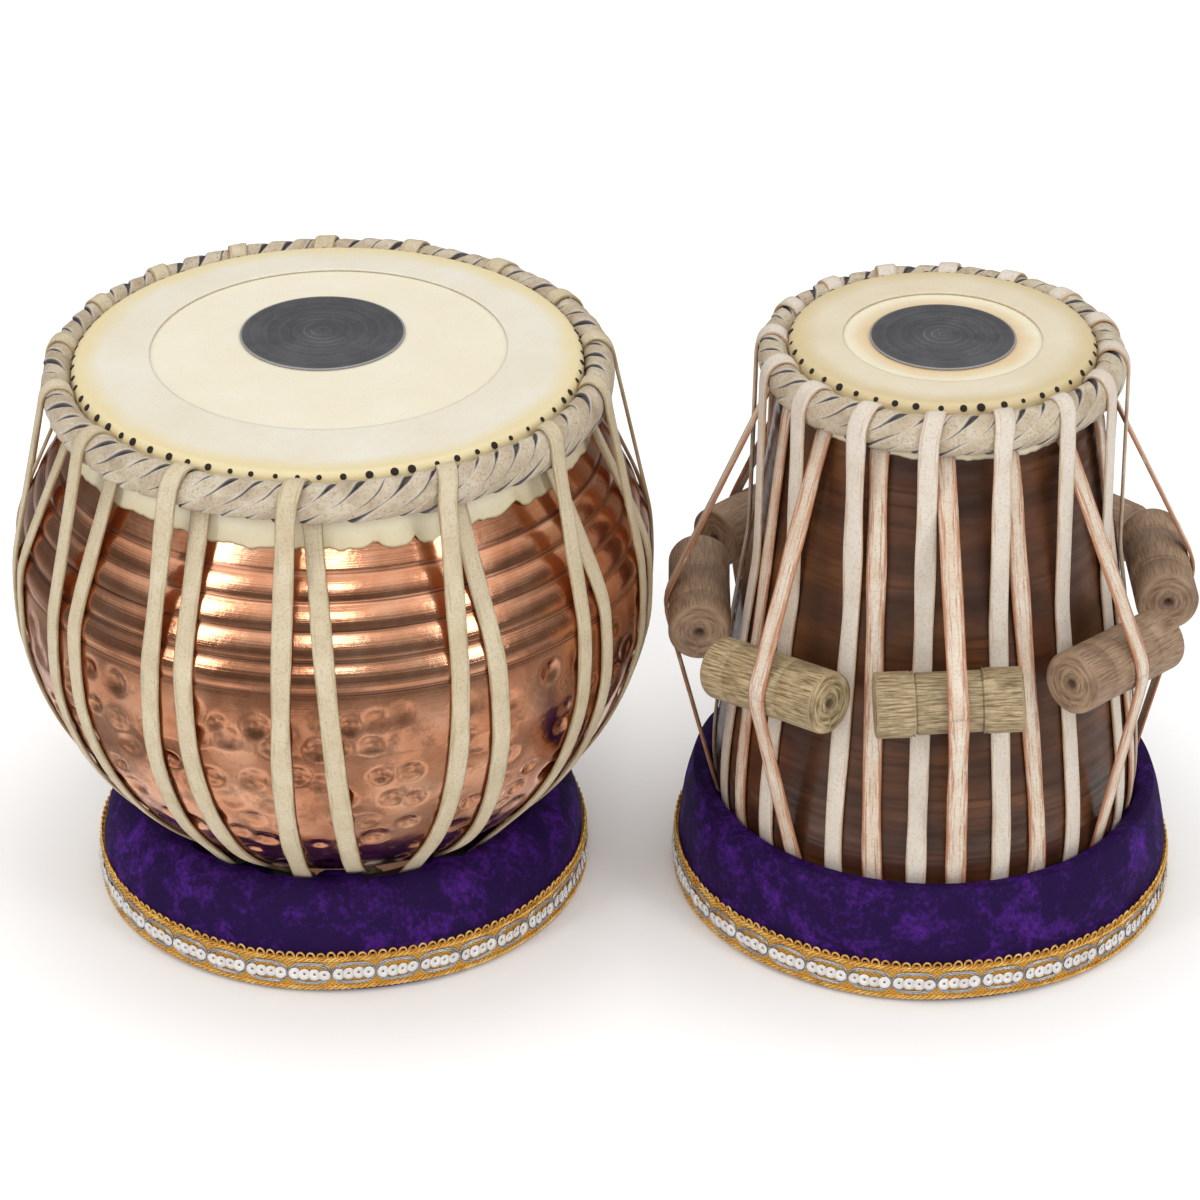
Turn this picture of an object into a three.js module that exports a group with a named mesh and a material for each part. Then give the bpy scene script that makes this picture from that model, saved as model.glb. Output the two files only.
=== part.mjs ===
import * as THREE from 'three';

// A tabla: the copper bass drum (bayan) and the wooden treble drum (dayan), each standing in its own
// ring cushion. Millimetres, +Z up, the floor at z = 0, and the player's side towards -Y.
// Angles round a drum are in degrees from its front (-Y), growing towards +X.

// ---- sizes shared by both drums ----
const SEGMENTS = 28;          // facets round every drum and cushion
const GAP = 0.4;              // clearance between two layers that touch on the real drum
const STRAP_CLEARANCE = 0.9;  // clearance on each side of the lacing strap
const RING_CLEARANCE = 1.8;   // between the strap and the base ring it turns under
const BRAID_CLEARANCE = 1.8;  // between the strap and the braid it turns over
const STRAP_WIDTH = 8.4;
const STRAP_THICKNESS = 1.6;
const MAIN_SKIN = 0.9;        // thickness of the main skin
const EDGE_SKIN = 0.8;        // thickness of the top ring and of the lining ring
const DAYAN_FORWARD = 6.4;    // how far the treble drum stands nearer the player
const TOP_RING_LAP = 4;        // the top ring turns down to this height above the braid's middle
const LOOPS = 16;             // turns of lacing on the treble drum

// ---- the bass drum ----
const bayan = {
  name: 'bayan',
  rimRadius: 115,
  headTop: 275.4,
  wall: 1.6,
  skirtBottom: 239,
  maidanRadius: 82.5,
  maidanBack: 8,
  syahiRadius: 38.5,
  syahiBack: 23,
  syahiLeft: 3.7,
  syahiHeight: 1.6,
  gajraOuter: 131.2,
  gajraZ: 264,
  gajraHalfHeight: 9.5,
  gudriRadius: 66,
  gudriHalfWidth: 5,
  gudriHalfHeight: 4,
  liningWidth: 14,
};
const BOWL_RADIUS = 150.5;       // the bowl is a ball of this radius below its widest part
const BOWL_CENTRE_Z = BOWL_RADIUS + 21.5;
const BOWL_TOP_Z = BOWL_CENTRE_Z - 22;  // where the ball ends and the shoulder begins
const BOWL_FOOT_RADIUS = 50;    // flat at the bottom
const COLLAR_RADIUS = 117.6;    // straight collar below the rim
const COLLAR_Z = 247;

// ---- the treble drum ----
const dayan = {
  name: 'dayan',
  rimRadius: 67.7,
  headTop: 287.9,
  wall: 15,
  skirtBottom: 262,
  maidanRadius: 45.5,
  maidanBack: 0,
  syahiRadius: 33.5,
  syahiBack: 0,
  syahiLeft: 0,
  syahiHeight: 1.6,
  gajraOuter: 86.5,
  gajraZ: 273.6,
  gajraHalfHeight: 9.8,
  gudriRadius: 58,
  gudriHalfWidth: 6,
  gudriHalfHeight: 3.5,
  liningWidth: 9,
};
const WOOD_BELLY_RADIUS = 100.3;
const WOOD_BELLY_Z = 65;
const WOOD_FOOT_RADIUS = 76;
const WOOD_FOOT_Z = 19;
const WOOD_RIM_WALL = 9;        // the wall thins to this at the rim
const WOOD_FLOOR = 42;          // solid wood left under the hollow
const LACING_CONTACT_Z = 186;   // below this the blocks press the outer legs against the wood

// ---- tuning blocks ----
const BLOCK_LENGTH = 67;
const BLOCK_RADIUS = 15.2;
const BLOCK_CHAMFER = 1.5;
const BLOCK_GROOVE = 0.7;
const BLOCK_PIT_RADIUS = 2.2;
const BLOCK_PIT_DEPTH = 3;
const BLOCK_FACETS = 12;
const BLOCK_CLEARANCE = 1.6;    // between a block and the strap that holds it
// between the two drums' axes: the bowl clears the blocks on the treble drum
const AXIS_SPACING = BOWL_RADIUS + WOOD_BELLY_RADIUS + 2 * BLOCK_RADIUS + 0.8;
// angle round the drum, height of the middle and tilt of each block, as they were tapped in
const BLOCKS = [
  [0, 155, -2.8], [47, 156, 4.2], [90, 163, 1], [135, 152, 0],
  [180, 155, -1.5], [225, 150, 1], [269, 147, 1], [315.5, 146, -7],
];

// ---- cushions ----
const COVER = 1.4;              // velvet thickness
const STUFFING_GAP = 0.6;       // between the velvet and the stuffing
const CLOTH = 1;                // underside cloth
const TRIM_THICKNESS = 1.6;
const TRIM_HEIGHT = 22;
const TRIM_LIFT = 0.6;          // the band's lower edge stands this far off the floor
const CROWN_LAND = 2.6;         // flat left on the crown, beside the seat
const SEAT_CLEARANCE = 1.4;     // between the lacing and the seat
const bayanCushion = {
  name: 'bayan', radius: 116.6, shoulder: [113, 35], crownZ: 41, holeRadius: 78,
};
const dayanCushion = {
  name: 'dayan', radius: 118, shoulder: [117, 47], crownZ: 54, holeRadius: 82,
};

const group = new THREE.Group();

// ---- helpers ----

const radians = THREE.MathUtils.degToRad;

// A finish for one piece.
function finish(color, roughness, metalness = 0) {
  return new THREE.MeshStandardMaterial({ color, roughness, metalness });
}

// Turns the faces outwards when an outline was drawn the other way round.
function faceOutwards(geometry) {
  const index = geometry.index.array;
  const at = geometry.attributes.position;
  const [a, b, c] = [new THREE.Vector3(), new THREE.Vector3(), new THREE.Vector3()];
  let volume = 0;
  for (let i = 0; i < index.length; i += 3) {
    a.fromBufferAttribute(at, index[i]);
    b.fromBufferAttribute(at, index[i + 1]);
    c.fromBufferAttribute(at, index[i + 2]);
    volume += a.dot(b.cross(c));
  }
  if (volume < 0) {
    for (let i = 0; i < index.length; i += 3) {
      const second = index[i + 1];
      index[i + 1] = index[i + 2];
      index[i + 2] = second;
    }
  }
  return geometry;
}

// A turned solid round +Z from [radius, height] pairs that close on themselves or on the axis.
function turned(outline, segments = SEGMENTS) {
  const points = outline.map(([r, z]) => new THREE.Vector2(r, z));
  if (outline[0][0] > 0) points.push(points[0].clone());
  const geometry = new THREE.LatheGeometry(points, segments);
  geometry.rotateX(Math.PI / 2);
  return faceOutwards(geometry);
}

// Adds one named piece to a parent group.
function addPiece(parent, name, geometry, material) {
  const mesh = new THREE.Mesh(geometry, material);
  mesh.name = name;
  parent.add(mesh);
  return mesh;
}

// An outline moved sideways by a distance, to its left as it runs.
function offset(outline, distance) {
  return outline.map(([r, z], i) => {
    const before = outline[Math.max(i - 1, 0)];
    const after = outline[Math.min(i + 1, outline.length - 1)];
    const along = new THREE.Vector2(after[0] - before[0], after[1] - before[1]).normalize();
    return [r - along.y * distance, z + along.x * distance];
  });
}

// Points of an ellipse in the radius-height plane, between two angles from the outward direction.
function ellipse(radius, z, halfWidth, halfHeight, from, to, steps) {
  const points = [];
  for (let i = 0; i <= steps; i += 1) {
    const a = radians(from + (to - from) * i / steps);
    points.push([radius + halfWidth * Math.cos(a), z + halfHeight * Math.sin(a)]);
  }
  return points;
}

// The radius of an outline at a height.
function radiusAt(outline, z) {
  for (let i = 1; i < outline.length; i += 1) {
    const [r0, z0] = outline[i - 1];
    const [r1, z1] = outline[i];
    if ((z0 - z) * (z1 - z) <= 0 && z0 !== z1) return r0 + (r1 - r0) * (z - z0) / (z1 - z0);
  }
  return outline[outline.length - 1][0];
}

// ---- outlines of the two shells, from the rim down to the flat foot ----

const shellTop = (drum) => drum.headTop - 2 * EDGE_SKIN - MAIN_SKIN - 3 * GAP;

function copperOutline() {
  const bowlTopRadius = Math.sqrt(BOWL_RADIUS ** 2 - (BOWL_CENTRE_Z - BOWL_TOP_Z) ** 2);
  const between = (share, height) => new THREE.Vector2(
    COLLAR_RADIUS + share * (bowlTopRadius - COLLAR_RADIUS),
    BOWL_TOP_Z + height * (COLLAR_Z - BOWL_TOP_Z),
  );
  const shoulder = new THREE.SplineCurve([
    new THREE.Vector2(COLLAR_RADIUS, COLLAR_Z),
    between(0.28, 0.83),
    between(0.67, 0.59),
    between(0.97, 0.31),
    new THREE.Vector2(bowlTopRadius, BOWL_TOP_Z),
  ]).getPoints(6).map((p) => [p.x, p.y]);
  const start = Math.asin((BOWL_CENTRE_Z - BOWL_TOP_Z) / BOWL_RADIUS);
  const end = Math.acos(BOWL_FOOT_RADIUS / BOWL_RADIUS);
  const bowl = [];
  const steps = 6;
  for (let i = 1; i <= steps; i += 1) {
    const a = start + (end - start) * i / steps;
    bowl.push([BOWL_RADIUS * Math.cos(a), BOWL_CENTRE_Z - BOWL_RADIUS * Math.sin(a)]);
  }
  return [[bayan.rimRadius, shellTop(bayan)], ...shoulder, ...bowl];
}

function woodOutline() {
  const top = shellTop(dayan);
  const between = (share, height) => new THREE.Vector2(
    dayan.rimRadius + share * (WOOD_BELLY_RADIUS - dayan.rimRadius),
    WOOD_BELLY_Z + height * (top - WOOD_BELLY_Z),
  );
  const wall = new THREE.SplineCurve([
    between(0, 1),
    between(0.18, 0.9),
    between(0.37, 0.72),
    between(0.685, 0.41),
    between(0.95, 0.12),
    between(1, 0),
  ]).getPoints(7).map((p) => [p.x, p.y]);
  const foot = [];
  const steps = 3;
  for (let i = 1; i <= steps; i += 1) {
    const a = (Math.PI / 2) * i / steps;
    foot.push([
      WOOD_FOOT_RADIUS + (WOOD_BELLY_RADIUS - WOOD_FOOT_RADIUS) * Math.cos(a),
      WOOD_BELLY_Z - (WOOD_BELLY_Z - WOOD_FOOT_Z) * Math.sin(a),
    ]);
  }
  return [...wall, ...foot];
}

bayan.outline = copperOutline();
dayan.outline = woodOutline();
bayan.footZ = bayan.outline[bayan.outline.length - 1][1];
dayan.footZ = WOOD_FOOT_Z;

// ---- shells ----

function copperShell() {
  const inside = offset(bayan.outline, -bayan.wall);
  inside[0][1] = shellTop(bayan);
  const floor = bayan.footZ + bayan.wall;
  return turned([
    [0, bayan.footZ], ...bayan.outline.slice().reverse(), ...inside.slice(0, -1),
    [BOWL_FOOT_RADIUS, floor], [0, floor],
  ]);
}

function woodShell() {
  const top = shellTop(dayan);
  const floorZ = WOOD_FOOT_Z + WOOD_FLOOR;
  const levels = [0.25, 0.5, 0.75].map((share) => top + (floorZ + dayan.wall - top) * share);
  const hollow = levels.map((z) => [radiusAt(dayan.outline, z) - dayan.wall, z]);
  const lowest = hollow[hollow.length - 1][0];
  return turned([
    [0, WOOD_FOOT_Z], ...dayan.outline.slice().reverse(),
    [dayan.rimRadius - WOOD_RIM_WALL, top], ...hollow,
    [lowest, floorZ + dayan.wall], [lowest * 0.7, floorZ + dayan.wall * 0.3], [0, floorZ],
  ]);
}

// ---- skins ----

// Where the turned-down edge of the top ring ends.
const topRingBottom = (drum) => drum.gajraZ + TOP_RING_LAP;

// The shell's outline from the rim down to a height, moved out by a distance.
function besideShell(drum, bottom, distance) {
  const upper = drum.outline.filter(([, z]) => z > bottom + 1);
  const line = [...upper, [radiusAt(drum.outline, bottom), bottom]];
  return line.map(([r, z]) => [r + distance, z]);
}

function liningRing(drum) {
  const z = shellTop(drum) + GAP;
  const outer = drum.rimRadius;
  const inner = outer - drum.liningWidth;
  return turned([[inner, z], [outer, z], [outer, z + EDGE_SKIN], [inner, z + EDGE_SKIN]]);
}

function mainSkin(drum) {
  const under = shellTop(drum) + 2 * GAP + EDGE_SKIN;
  const top = under + MAIN_SKIN;
  const inside = besideShell(drum, drum.skirtBottom, GAP);
  const outside = besideShell(drum, drum.skirtBottom, GAP + MAIN_SKIN);
  inside[0][1] = under;
  outside[0][1] = top;
  return turned([[0, under], ...inside, ...outside.reverse(), [0, top]]);
}

function topRing(drum) {
  const under = drum.headTop - EDGE_SKIN;
  const bottom = topRingBottom(drum);
  const inside = besideShell(drum, bottom, 2 * GAP + MAIN_SKIN);
  const outside = besideShell(drum, bottom, 2 * GAP + MAIN_SKIN + EDGE_SKIN);
  inside[0][1] = under;
  outside[0][1] = drum.headTop;
  const hole = drum.maidanRadius;
  const geometry = turned([[hole, under], ...inside, ...outside.reverse(), [hole, drum.headTop]]);
  const at = geometry.attributes.position;
  for (let i = 0; i < at.count; i += 1) {
    const onHole = Math.hypot(at.getX(i), at.getY(i)) < hole + GAP;
    if (onHole) at.setY(i, at.getY(i) + drum.maidanBack);
  }
  return geometry;
}

function tuningPaste(drum) {
  const z = shellTop(drum) + 3 * GAP + EDGE_SKIN + MAIN_SKIN;
  const r = drum.syahiRadius;
  const h = drum.syahiHeight;
  const geometry = turned([[0, z], [r, z], [r * 0.97, z + h * 0.5], [r * 0.6, z + h * 0.9], [0, z + h]]);
  geometry.translate(-drum.syahiLeft, drum.syahiBack, 0);
  return geometry;
}

// ---- braid, base ring and lacing ----

const skinEdge = (drum) => radiusAt(drum.outline, topRingBottom(drum)) + 2 * GAP + MAIN_SKIN + EDGE_SKIN;
const strapOffset = STRAP_CLEARANCE + STRAP_THICKNESS / 2;

// The braid leaves a channel between itself and the skins for the lacing.
function braidSection(drum) {
  const inner = skinEdge(drum) + STRAP_CLEARANCE + STRAP_THICKNESS + BRAID_CLEARANCE;
  return { radius: (inner + drum.gajraOuter) / 2, half: (drum.gajraOuter - inner) / 2 };
}

function braid(drum) {
  const { radius, half } = braidSection(drum);
  return turned(ellipse(radius, drum.gajraZ, half, drum.gajraHalfHeight, 0, 330, 11));
}

// The base ring hangs under the shell, with room for the strap between them.
function baseRingZ(drum) {
  const shellZ = drum.name === 'bayan'
    ? BOWL_CENTRE_Z - Math.sqrt(BOWL_RADIUS ** 2 - (drum.gudriRadius - drum.gudriHalfWidth) ** 2)
    : WOOD_FOOT_Z;
  return shellZ - STRAP_THICKNESS - STRAP_CLEARANCE - RING_CLEARANCE - drum.gudriHalfHeight;
}

function baseRing(drum) {
  const z = baseRingZ(drum);
  return turned(ellipse(drum.gudriRadius, z, drum.gudriHalfWidth, drum.gudriHalfHeight, 0, 315, 7));
}

// The path of a tight strap over the given points, seen in the radius-height plane: their outer hull.
function taut(points) {
  const sorted = points.slice().sort((p, q) => q[1] - p[1] || q[0] - p[0]);
  const hull = [];
  for (const p of sorted) {
    while (hull.length > 1) {
      const [a, b] = hull.slice(-2);
      const turn = (b[0] - a[0]) * (p[1] - a[1]) - (b[1] - a[1]) * (p[0] - a[0]);
      if (turn < 0) break;
      hull.pop();
    }
    hull.push(p);
  }
  return hull;
}

// Spreads the turn from one angle to another along a path, as the shortest way on a round body does.
function withAngles(path, from, to) {
  const travelled = [0];
  for (let i = 1; i < path.length; i += 1) {
    const [r0, z0] = path[i - 1];
    const [r1, z1] = path[i];
    travelled.push(travelled[i - 1] + Math.hypot(r1 - r0, z1 - z0) / ((r0 + r1) / 2) ** 2);
  }
  const whole = travelled[travelled.length - 1] || 1;
  return path.map(([r, z], i) => [r, z, from + (to - from) * travelled[i] / whole]);
}

// The section of the path that the strap takes round the base ring, between two angles.
function roundRing(drum, from, to, steps) {
  const away = RING_CLEARANCE + STRAP_THICKNESS / 2;
  const [wide, high] = [drum.gudriHalfWidth + away, drum.gudriHalfHeight + away];
  return ellipse(drum.gudriRadius, baseRingZ(drum), wide, high, from, to, steps);
}

// The outermost line that the lacing takes down a shell and round the outside of its base ring.
function lacingOutline(drum) {
  return taut([...offset(drum.outline, strapOffset), ...roundRing(drum, 0, -90, 3)]);
}

// One closed flat strap through [radius, height, angle] stations.
function strap(stations) {
  const points = stations.map(([r, z, angle]) => {
    const a = radians(angle);
    return new THREE.Vector3(r * Math.sin(a), -r * Math.cos(a), z);
  });
  const count = points.length;
  const corners = [];
  for (let i = 0; i < count; i += 1) {
    const before = points[(i + count - 1) % count];
    const after = points[(i + 1) % count];
    const along = after.clone().sub(before).normalize();
    const a = radians(stations[i][2]);
    const sideways = new THREE.Vector3(Math.cos(a), Math.sin(a), 0);
    const face = along.clone().cross(sideways).normalize();
    const across = face.clone().cross(along).normalize();
    for (const [w, t] of [[-0.5, -0.5], [0.5, -0.5], [0.5, 0.5], [-0.5, 0.5]]) {
      const corner = points[i].clone();
      corner.addScaledVector(across, w * STRAP_WIDTH);
      corner.addScaledVector(face, t * STRAP_THICKNESS);
      corners.push(corner.x, corner.y, corner.z);
    }
  }
  const faces = [];
  for (let i = 0; i < count; i += 1) {
    const here = i * 4;
    const next = ((i + 1) % count) * 4;
    for (let k = 0; k < 4; k += 1) {
      const other = (k + 1) % 4;
      faces.push(here + k, here + other, next + other, here + k, next + other, next + k);
    }
  }
  const geometry = new THREE.BufferGeometry();
  geometry.setAttribute('position', new THREE.Float32BufferAttribute(corners, 3));
  geometry.setIndex(faces);
  return faceOutwards(geometry);
}

// The whole lacing of a drum: up an outer leg, over the braid, down an inner leg and round the base
// ring, loop after loop. An inner leg that holds a tuning block runs out over it.
function lacing(drum, loops, blockOverLoop) {
  const { radius, half } = braidSection(drum);
  const away = BRAID_CLEARANCE + STRAP_THICKNESS / 2;
  const belowSkins = offset(drum.outline, strapOffset).map(([r, z]) => {
    const skins = z > drum.skirtBottom - 6 ? GAP + MAIN_SKIN : 0;
    return [r + skins, z];
  });
  const wallBelow = (z) => belowSkins.filter((p) => p[1] < z);
  const ringOutside = roundRing(drum, 0, -90, 3);
  const ringInside = roundRing(drum, 90, 234, 4);
  const overBraid = ellipse(radius, drum.gajraZ, half + away, drum.gajraHalfHeight + away, 0, 234, 6);
  const throat = overBraid[overBraid.length - 1];
  const contact = drum.name === 'dayan' ? LACING_CONTACT_Z : drum.gajraZ;
  const outerLeg = contact < drum.gajraZ
    ? [overBraid[0], ...taut([...wallBelow(contact), ...ringOutside])]
    : taut([overBraid[0], ...wallBelow(contact), ...ringOutside]);
  const route = [];
  loops.forEach((start, i) => {
    const next = loops[(i + 1) % loops.length] + (i === loops.length - 1 ? 360 : 0);
    const up = withAngles(outerLeg.slice().reverse(), start + drum.outerEnd, start);
    const over = withAngles(overBraid.slice(1, -1), start, start + drum.crossing);
    const block = blockOverLoop[i] ?? [];
    const innerLeg = taut([throat, ...wallBelow(throat[1]), ringInside[0], ...block]);
    const down = withAngles(innerLeg, start + drum.crossing, next + drum.innerEnd);
    const under = withAngles(ringInside.slice(1), next + drum.innerEnd, next + drum.outerEnd);
    route.push(...up, ...over, ...down, ...under);
  });
  return strap(route);
}

// ---- tuning blocks ----

// Where a block sits: its middle in the radius-height plane and the direction of the wall there.
function blockSeat(z) {
  const slope = Math.atan((radiusAt(dayan.outline, z - 30) - radiusAt(dayan.outline, z + 30)) / 60);
  const lift = STRAP_THICKNESS + 2 * STRAP_CLEARANCE + BLOCK_RADIUS;
  return {
    radius: radiusAt(dayan.outline, z) + lift * Math.cos(slope),
    z: z + lift * Math.sin(slope),
    slope,
  };
}

function blockShape() {
  const half = BLOCK_LENGTH / 2;
  const r = BLOCK_RADIUS;
  return turned([
    [0, -half + BLOCK_PIT_DEPTH], [BLOCK_PIT_RADIUS, -half], [r - BLOCK_CHAMFER, -half],
    [r, -half + BLOCK_CHAMFER], [r, -1.2], [r - BLOCK_GROOVE, 0], [r, 1.2],
    [r, half - BLOCK_CHAMFER], [r - BLOCK_CHAMFER, half], [BLOCK_PIT_RADIUS, half],
    [0, half - BLOCK_PIT_DEPTH],
  ], BLOCK_FACETS);
}

function addBlock(parent, number, angle, z, tilt) {
  const seat = blockSeat(z);
  const a = radians(angle);
  const outward = new THREE.Vector3(Math.sin(a), -Math.cos(a), 0);
  const around = new THREE.Vector3(Math.cos(a), Math.sin(a), 0);
  const down = outward.clone().multiplyScalar(Math.sin(seat.slope));
  down.z = -Math.cos(seat.slope);
  const axis = around.multiplyScalar(Math.cos(radians(tilt)));
  axis.addScaledVector(down, Math.sin(radians(tilt)));
  const mesh = addPiece(parent, `gatta_${number}`, blockShape(), finish(0x967660, 0.6));
  mesh.quaternion.setFromUnitVectors(new THREE.Vector3(0, 0, 1), axis.normalize());
  mesh.position.copy(outward).multiplyScalar(seat.radius);
  mesh.position.z = seat.z;
}

// ---- cushions ----

// The cushion's outline from the outer foot over the crown to the foot of the hole, moved inwards
// by an inset for the layers under the velvet.
function cushionOutline(cushion, drum, inset) {
  const seatLine = offset(lacingOutline(drum), STRAP_THICKNESS / 2 + SEAT_CLEARANCE + inset);
  const crownZ = cushion.crownZ - inset;
  const foot = CLOTH + GAP;
  const hole = cushion.holeRadius + inset;
  const [shoulderRadius, shoulderZ] = cushion.shoulder;
  const dome = new THREE.QuadraticBezierCurve(
    new THREE.Vector2(cushion.radius - inset, TRIM_HEIGHT),
    new THREE.Vector2(shoulderRadius - inset, shoulderZ - inset),
    new THREE.Vector2(radiusAt(seatLine, crownZ) + CROWN_LAND, crownZ),
  ).getPoints(4).map((p) => [p.x, p.y]);
  const seat = seatLine.filter(([r, z]) => r > hole + CROWN_LAND && z < crownZ - CROWN_LAND);
  const holeTop = heightBelow(seatLine, hole);
  return [[cushion.radius - inset, foot], ...dome, ...seat, [hole, holeTop], [hole, foot]];
}

// The height at which the lower part of an outline has a radius.
function heightBelow(outline, radius) {
  for (let i = outline.length - 1; i > 0; i -= 1) {
    const [r0, z0] = outline[i];
    const [r1, z1] = outline[i - 1];
    if (r0 <= radius && radius <= r1) return z0 + (z1 - z0) * (radius - r0) / (r1 - r0);
  }
  return outline[outline.length - 1][1];
}

function addCushion(parent, cushion, drum) {
  const skin = cushionOutline(cushion, drum, 0);
  const lining = cushionOutline(cushion, drum, COVER);
  const filling = cushionOutline(cushion, drum, COVER + STUFFING_GAP);
  const velvet = finish(0x2d0f55, 0.8);
  addPiece(parent, `${cushion.name}_cushion_cover`, turned([...skin, ...lining.reverse()]), velvet);
  addPiece(parent, `${cushion.name}_cushion_stuffing`, turned(filling), finish(0xd8d0c0, 0.9));
  const [inner, outer] = [cushion.holeRadius, cushion.radius];
  const under = turned([[inner, 0], [outer, 0], [outer, CLOTH], [inner, CLOTH]]);
  addPiece(parent, `${cushion.name}_cushion_base`, under, velvet);
  const trimInner = cushion.radius + GAP;
  const trimOuter = trimInner + TRIM_THICKNESS;
  const band = turned([
    [trimInner, TRIM_LIFT], [trimOuter, TRIM_LIFT], [trimOuter, TRIM_HEIGHT], [trimInner, TRIM_HEIGHT],
  ]);
  addPiece(parent, `${cushion.name}_cushion_trim`, band, finish(0xcd9b37, 0.5));
}

// ---- the drums put together ----

function addDrum(parent, drum, shell, shellFinish, loops, blockOverLoop) {
  const skinFinish = finish(0xeadfbe, 0.6);
  const hide = finish(0xbeaf87, 0.7);
  addPiece(parent, `${drum.name}_shell`, shell, shellFinish);
  addPiece(parent, `${drum.name}_lining_ring`, liningRing(drum), skinFinish);
  addPiece(parent, `${drum.name}_main_skin`, mainSkin(drum), skinFinish);
  addPiece(parent, `${drum.name}_top_ring`, topRing(drum), finish(0xddd0ae, 0.6));
  addPiece(parent, `${drum.name}_syahi`, tuningPaste(drum), finish(0x35353a, 0.7));
  addPiece(parent, `${drum.name}_gajra`, braid(drum), finish(0xbeaf96, 0.7));
  addPiece(parent, `${drum.name}_base_ring`, baseRing(drum), hide);
  addPiece(parent, `${drum.name}_lacing`, lacing(drum, loops, blockOverLoop), hide);
}

// Angle of each loop of lacing on the bass drum, pulled up by hand and so not quite even.
bayan.loops = [-5, 26, 53, 76, 97, 119, 140, 162, 182, 202, 222, 241, 261, 283, 306, 331];
bayan.crossing = 4.4;    // from a loop's outer leg to its inner leg at the braid
bayan.outerEnd = -4.8;   // where its legs reach the base ring, from the loop's own angle
bayan.innerEnd = -13.5;
dayan.loops = Array.from({ length: LOOPS }, (_, i) => -8 + i * 360 / LOOPS);
dayan.crossing = 5;
dayan.outerEnd = 3;
dayan.innerEnd = -6.5;

const bayanGroup = new THREE.Group();
bayanGroup.position.x = -AXIS_SPACING / 2;
addDrum(bayanGroup, bayan, copperShell(), finish(0xc97a50, 0.25, 1), bayan.loops, {});
addCushion(bayanGroup, bayanCushion, bayan);
group.add(bayanGroup);

const dayanGroup = new THREE.Group();
dayanGroup.position.set(AXIS_SPACING / 2, -DAYAN_FORWARD, 0);
const blockOverLoop = {};
BLOCKS.forEach(([, z], i) => {
  const seat = blockSeat(z);
  const reach = BLOCK_RADIUS + BLOCK_CLEARANCE + STRAP_THICKNESS / 2;
  blockOverLoop[2 * i] = ellipse(seat.radius, seat.z, reach, reach, 60, -60, 5);
});
addDrum(dayanGroup, dayan, woodShell(), finish(0x4b2816, 0.35), dayan.loops, blockOverLoop);
addCushion(dayanGroup, dayanCushion, dayan);
BLOCKS.forEach(([angle, z, tilt], i) => addBlock(dayanGroup, i + 1, angle, z, tilt));
group.add(dayanGroup);

// The whole stands centred over the origin.
const box = new THREE.Box3().setFromObject(group, true);
const middle = box.getCenter(new THREE.Vector3());
group.position.set(-middle.x, -middle.y, 0);
group.updateMatrixWorld(true);

export default group;
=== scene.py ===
import math
import random

import bpy
import numpy as np
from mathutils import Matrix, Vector, noise


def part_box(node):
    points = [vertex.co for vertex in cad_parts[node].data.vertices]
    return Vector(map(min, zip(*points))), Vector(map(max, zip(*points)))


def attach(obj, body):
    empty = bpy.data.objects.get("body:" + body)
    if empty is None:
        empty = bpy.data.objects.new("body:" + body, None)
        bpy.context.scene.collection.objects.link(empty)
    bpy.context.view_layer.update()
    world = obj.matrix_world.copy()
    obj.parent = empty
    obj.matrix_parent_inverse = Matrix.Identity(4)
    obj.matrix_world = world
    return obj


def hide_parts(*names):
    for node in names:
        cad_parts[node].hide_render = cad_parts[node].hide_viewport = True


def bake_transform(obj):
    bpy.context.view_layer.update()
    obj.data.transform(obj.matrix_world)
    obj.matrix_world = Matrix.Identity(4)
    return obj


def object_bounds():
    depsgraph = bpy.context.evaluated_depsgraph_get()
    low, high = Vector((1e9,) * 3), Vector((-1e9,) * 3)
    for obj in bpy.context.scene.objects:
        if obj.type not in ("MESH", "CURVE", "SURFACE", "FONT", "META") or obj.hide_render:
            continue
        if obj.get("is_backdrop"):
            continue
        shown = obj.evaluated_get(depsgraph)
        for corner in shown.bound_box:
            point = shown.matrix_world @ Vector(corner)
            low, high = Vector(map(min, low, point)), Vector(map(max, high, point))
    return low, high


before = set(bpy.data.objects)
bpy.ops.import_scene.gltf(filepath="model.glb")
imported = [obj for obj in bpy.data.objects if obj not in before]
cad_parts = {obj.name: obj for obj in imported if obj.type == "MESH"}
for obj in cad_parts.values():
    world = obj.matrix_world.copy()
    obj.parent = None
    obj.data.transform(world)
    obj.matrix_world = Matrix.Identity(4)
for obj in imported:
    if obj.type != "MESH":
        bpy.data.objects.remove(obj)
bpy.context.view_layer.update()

# ---------------------------------------------------------------------------------------------
# Where the two drums stand. Each is round about an upright axis, taken from its braid; heights
# are above the floor, and angles run from the player's side (-Y) towards the treble drum (+X).
# ---------------------------------------------------------------------------------------------


def axis_through(node):
    low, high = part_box(node)
    return (low.x + high.x) / 2, (low.y + high.y) / 2


BASS_AXIS = axis_through("bayan_gajra")
TREBLE_AXIS = axis_through("dayan_gajra")

# ---------------------------------------------------------------------------------------------
# The studio: a pale seamless floor, a bright room, and broad soft lights left, right and above,
# which draw the long highlights down the copper. The camera looks down at both heads.
# ---------------------------------------------------------------------------------------------

scene = bpy.context.scene
scene.view_settings.view_transform = "Standard"


def node(tree, kind, inputs=None, **settings):
    """A shader node with its settings, its inputs linked to a socket or set to a value."""
    made = tree.nodes.new(kind)
    for key, value in settings.items():
        setattr(made, key, value)
    for key, value in (inputs or {}).items():
        socket = made.inputs[key]
        if isinstance(value, bpy.types.NodeSocket):
            tree.links.new(value, socket)
        else:
            socket.default_value = value
    return made


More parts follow.
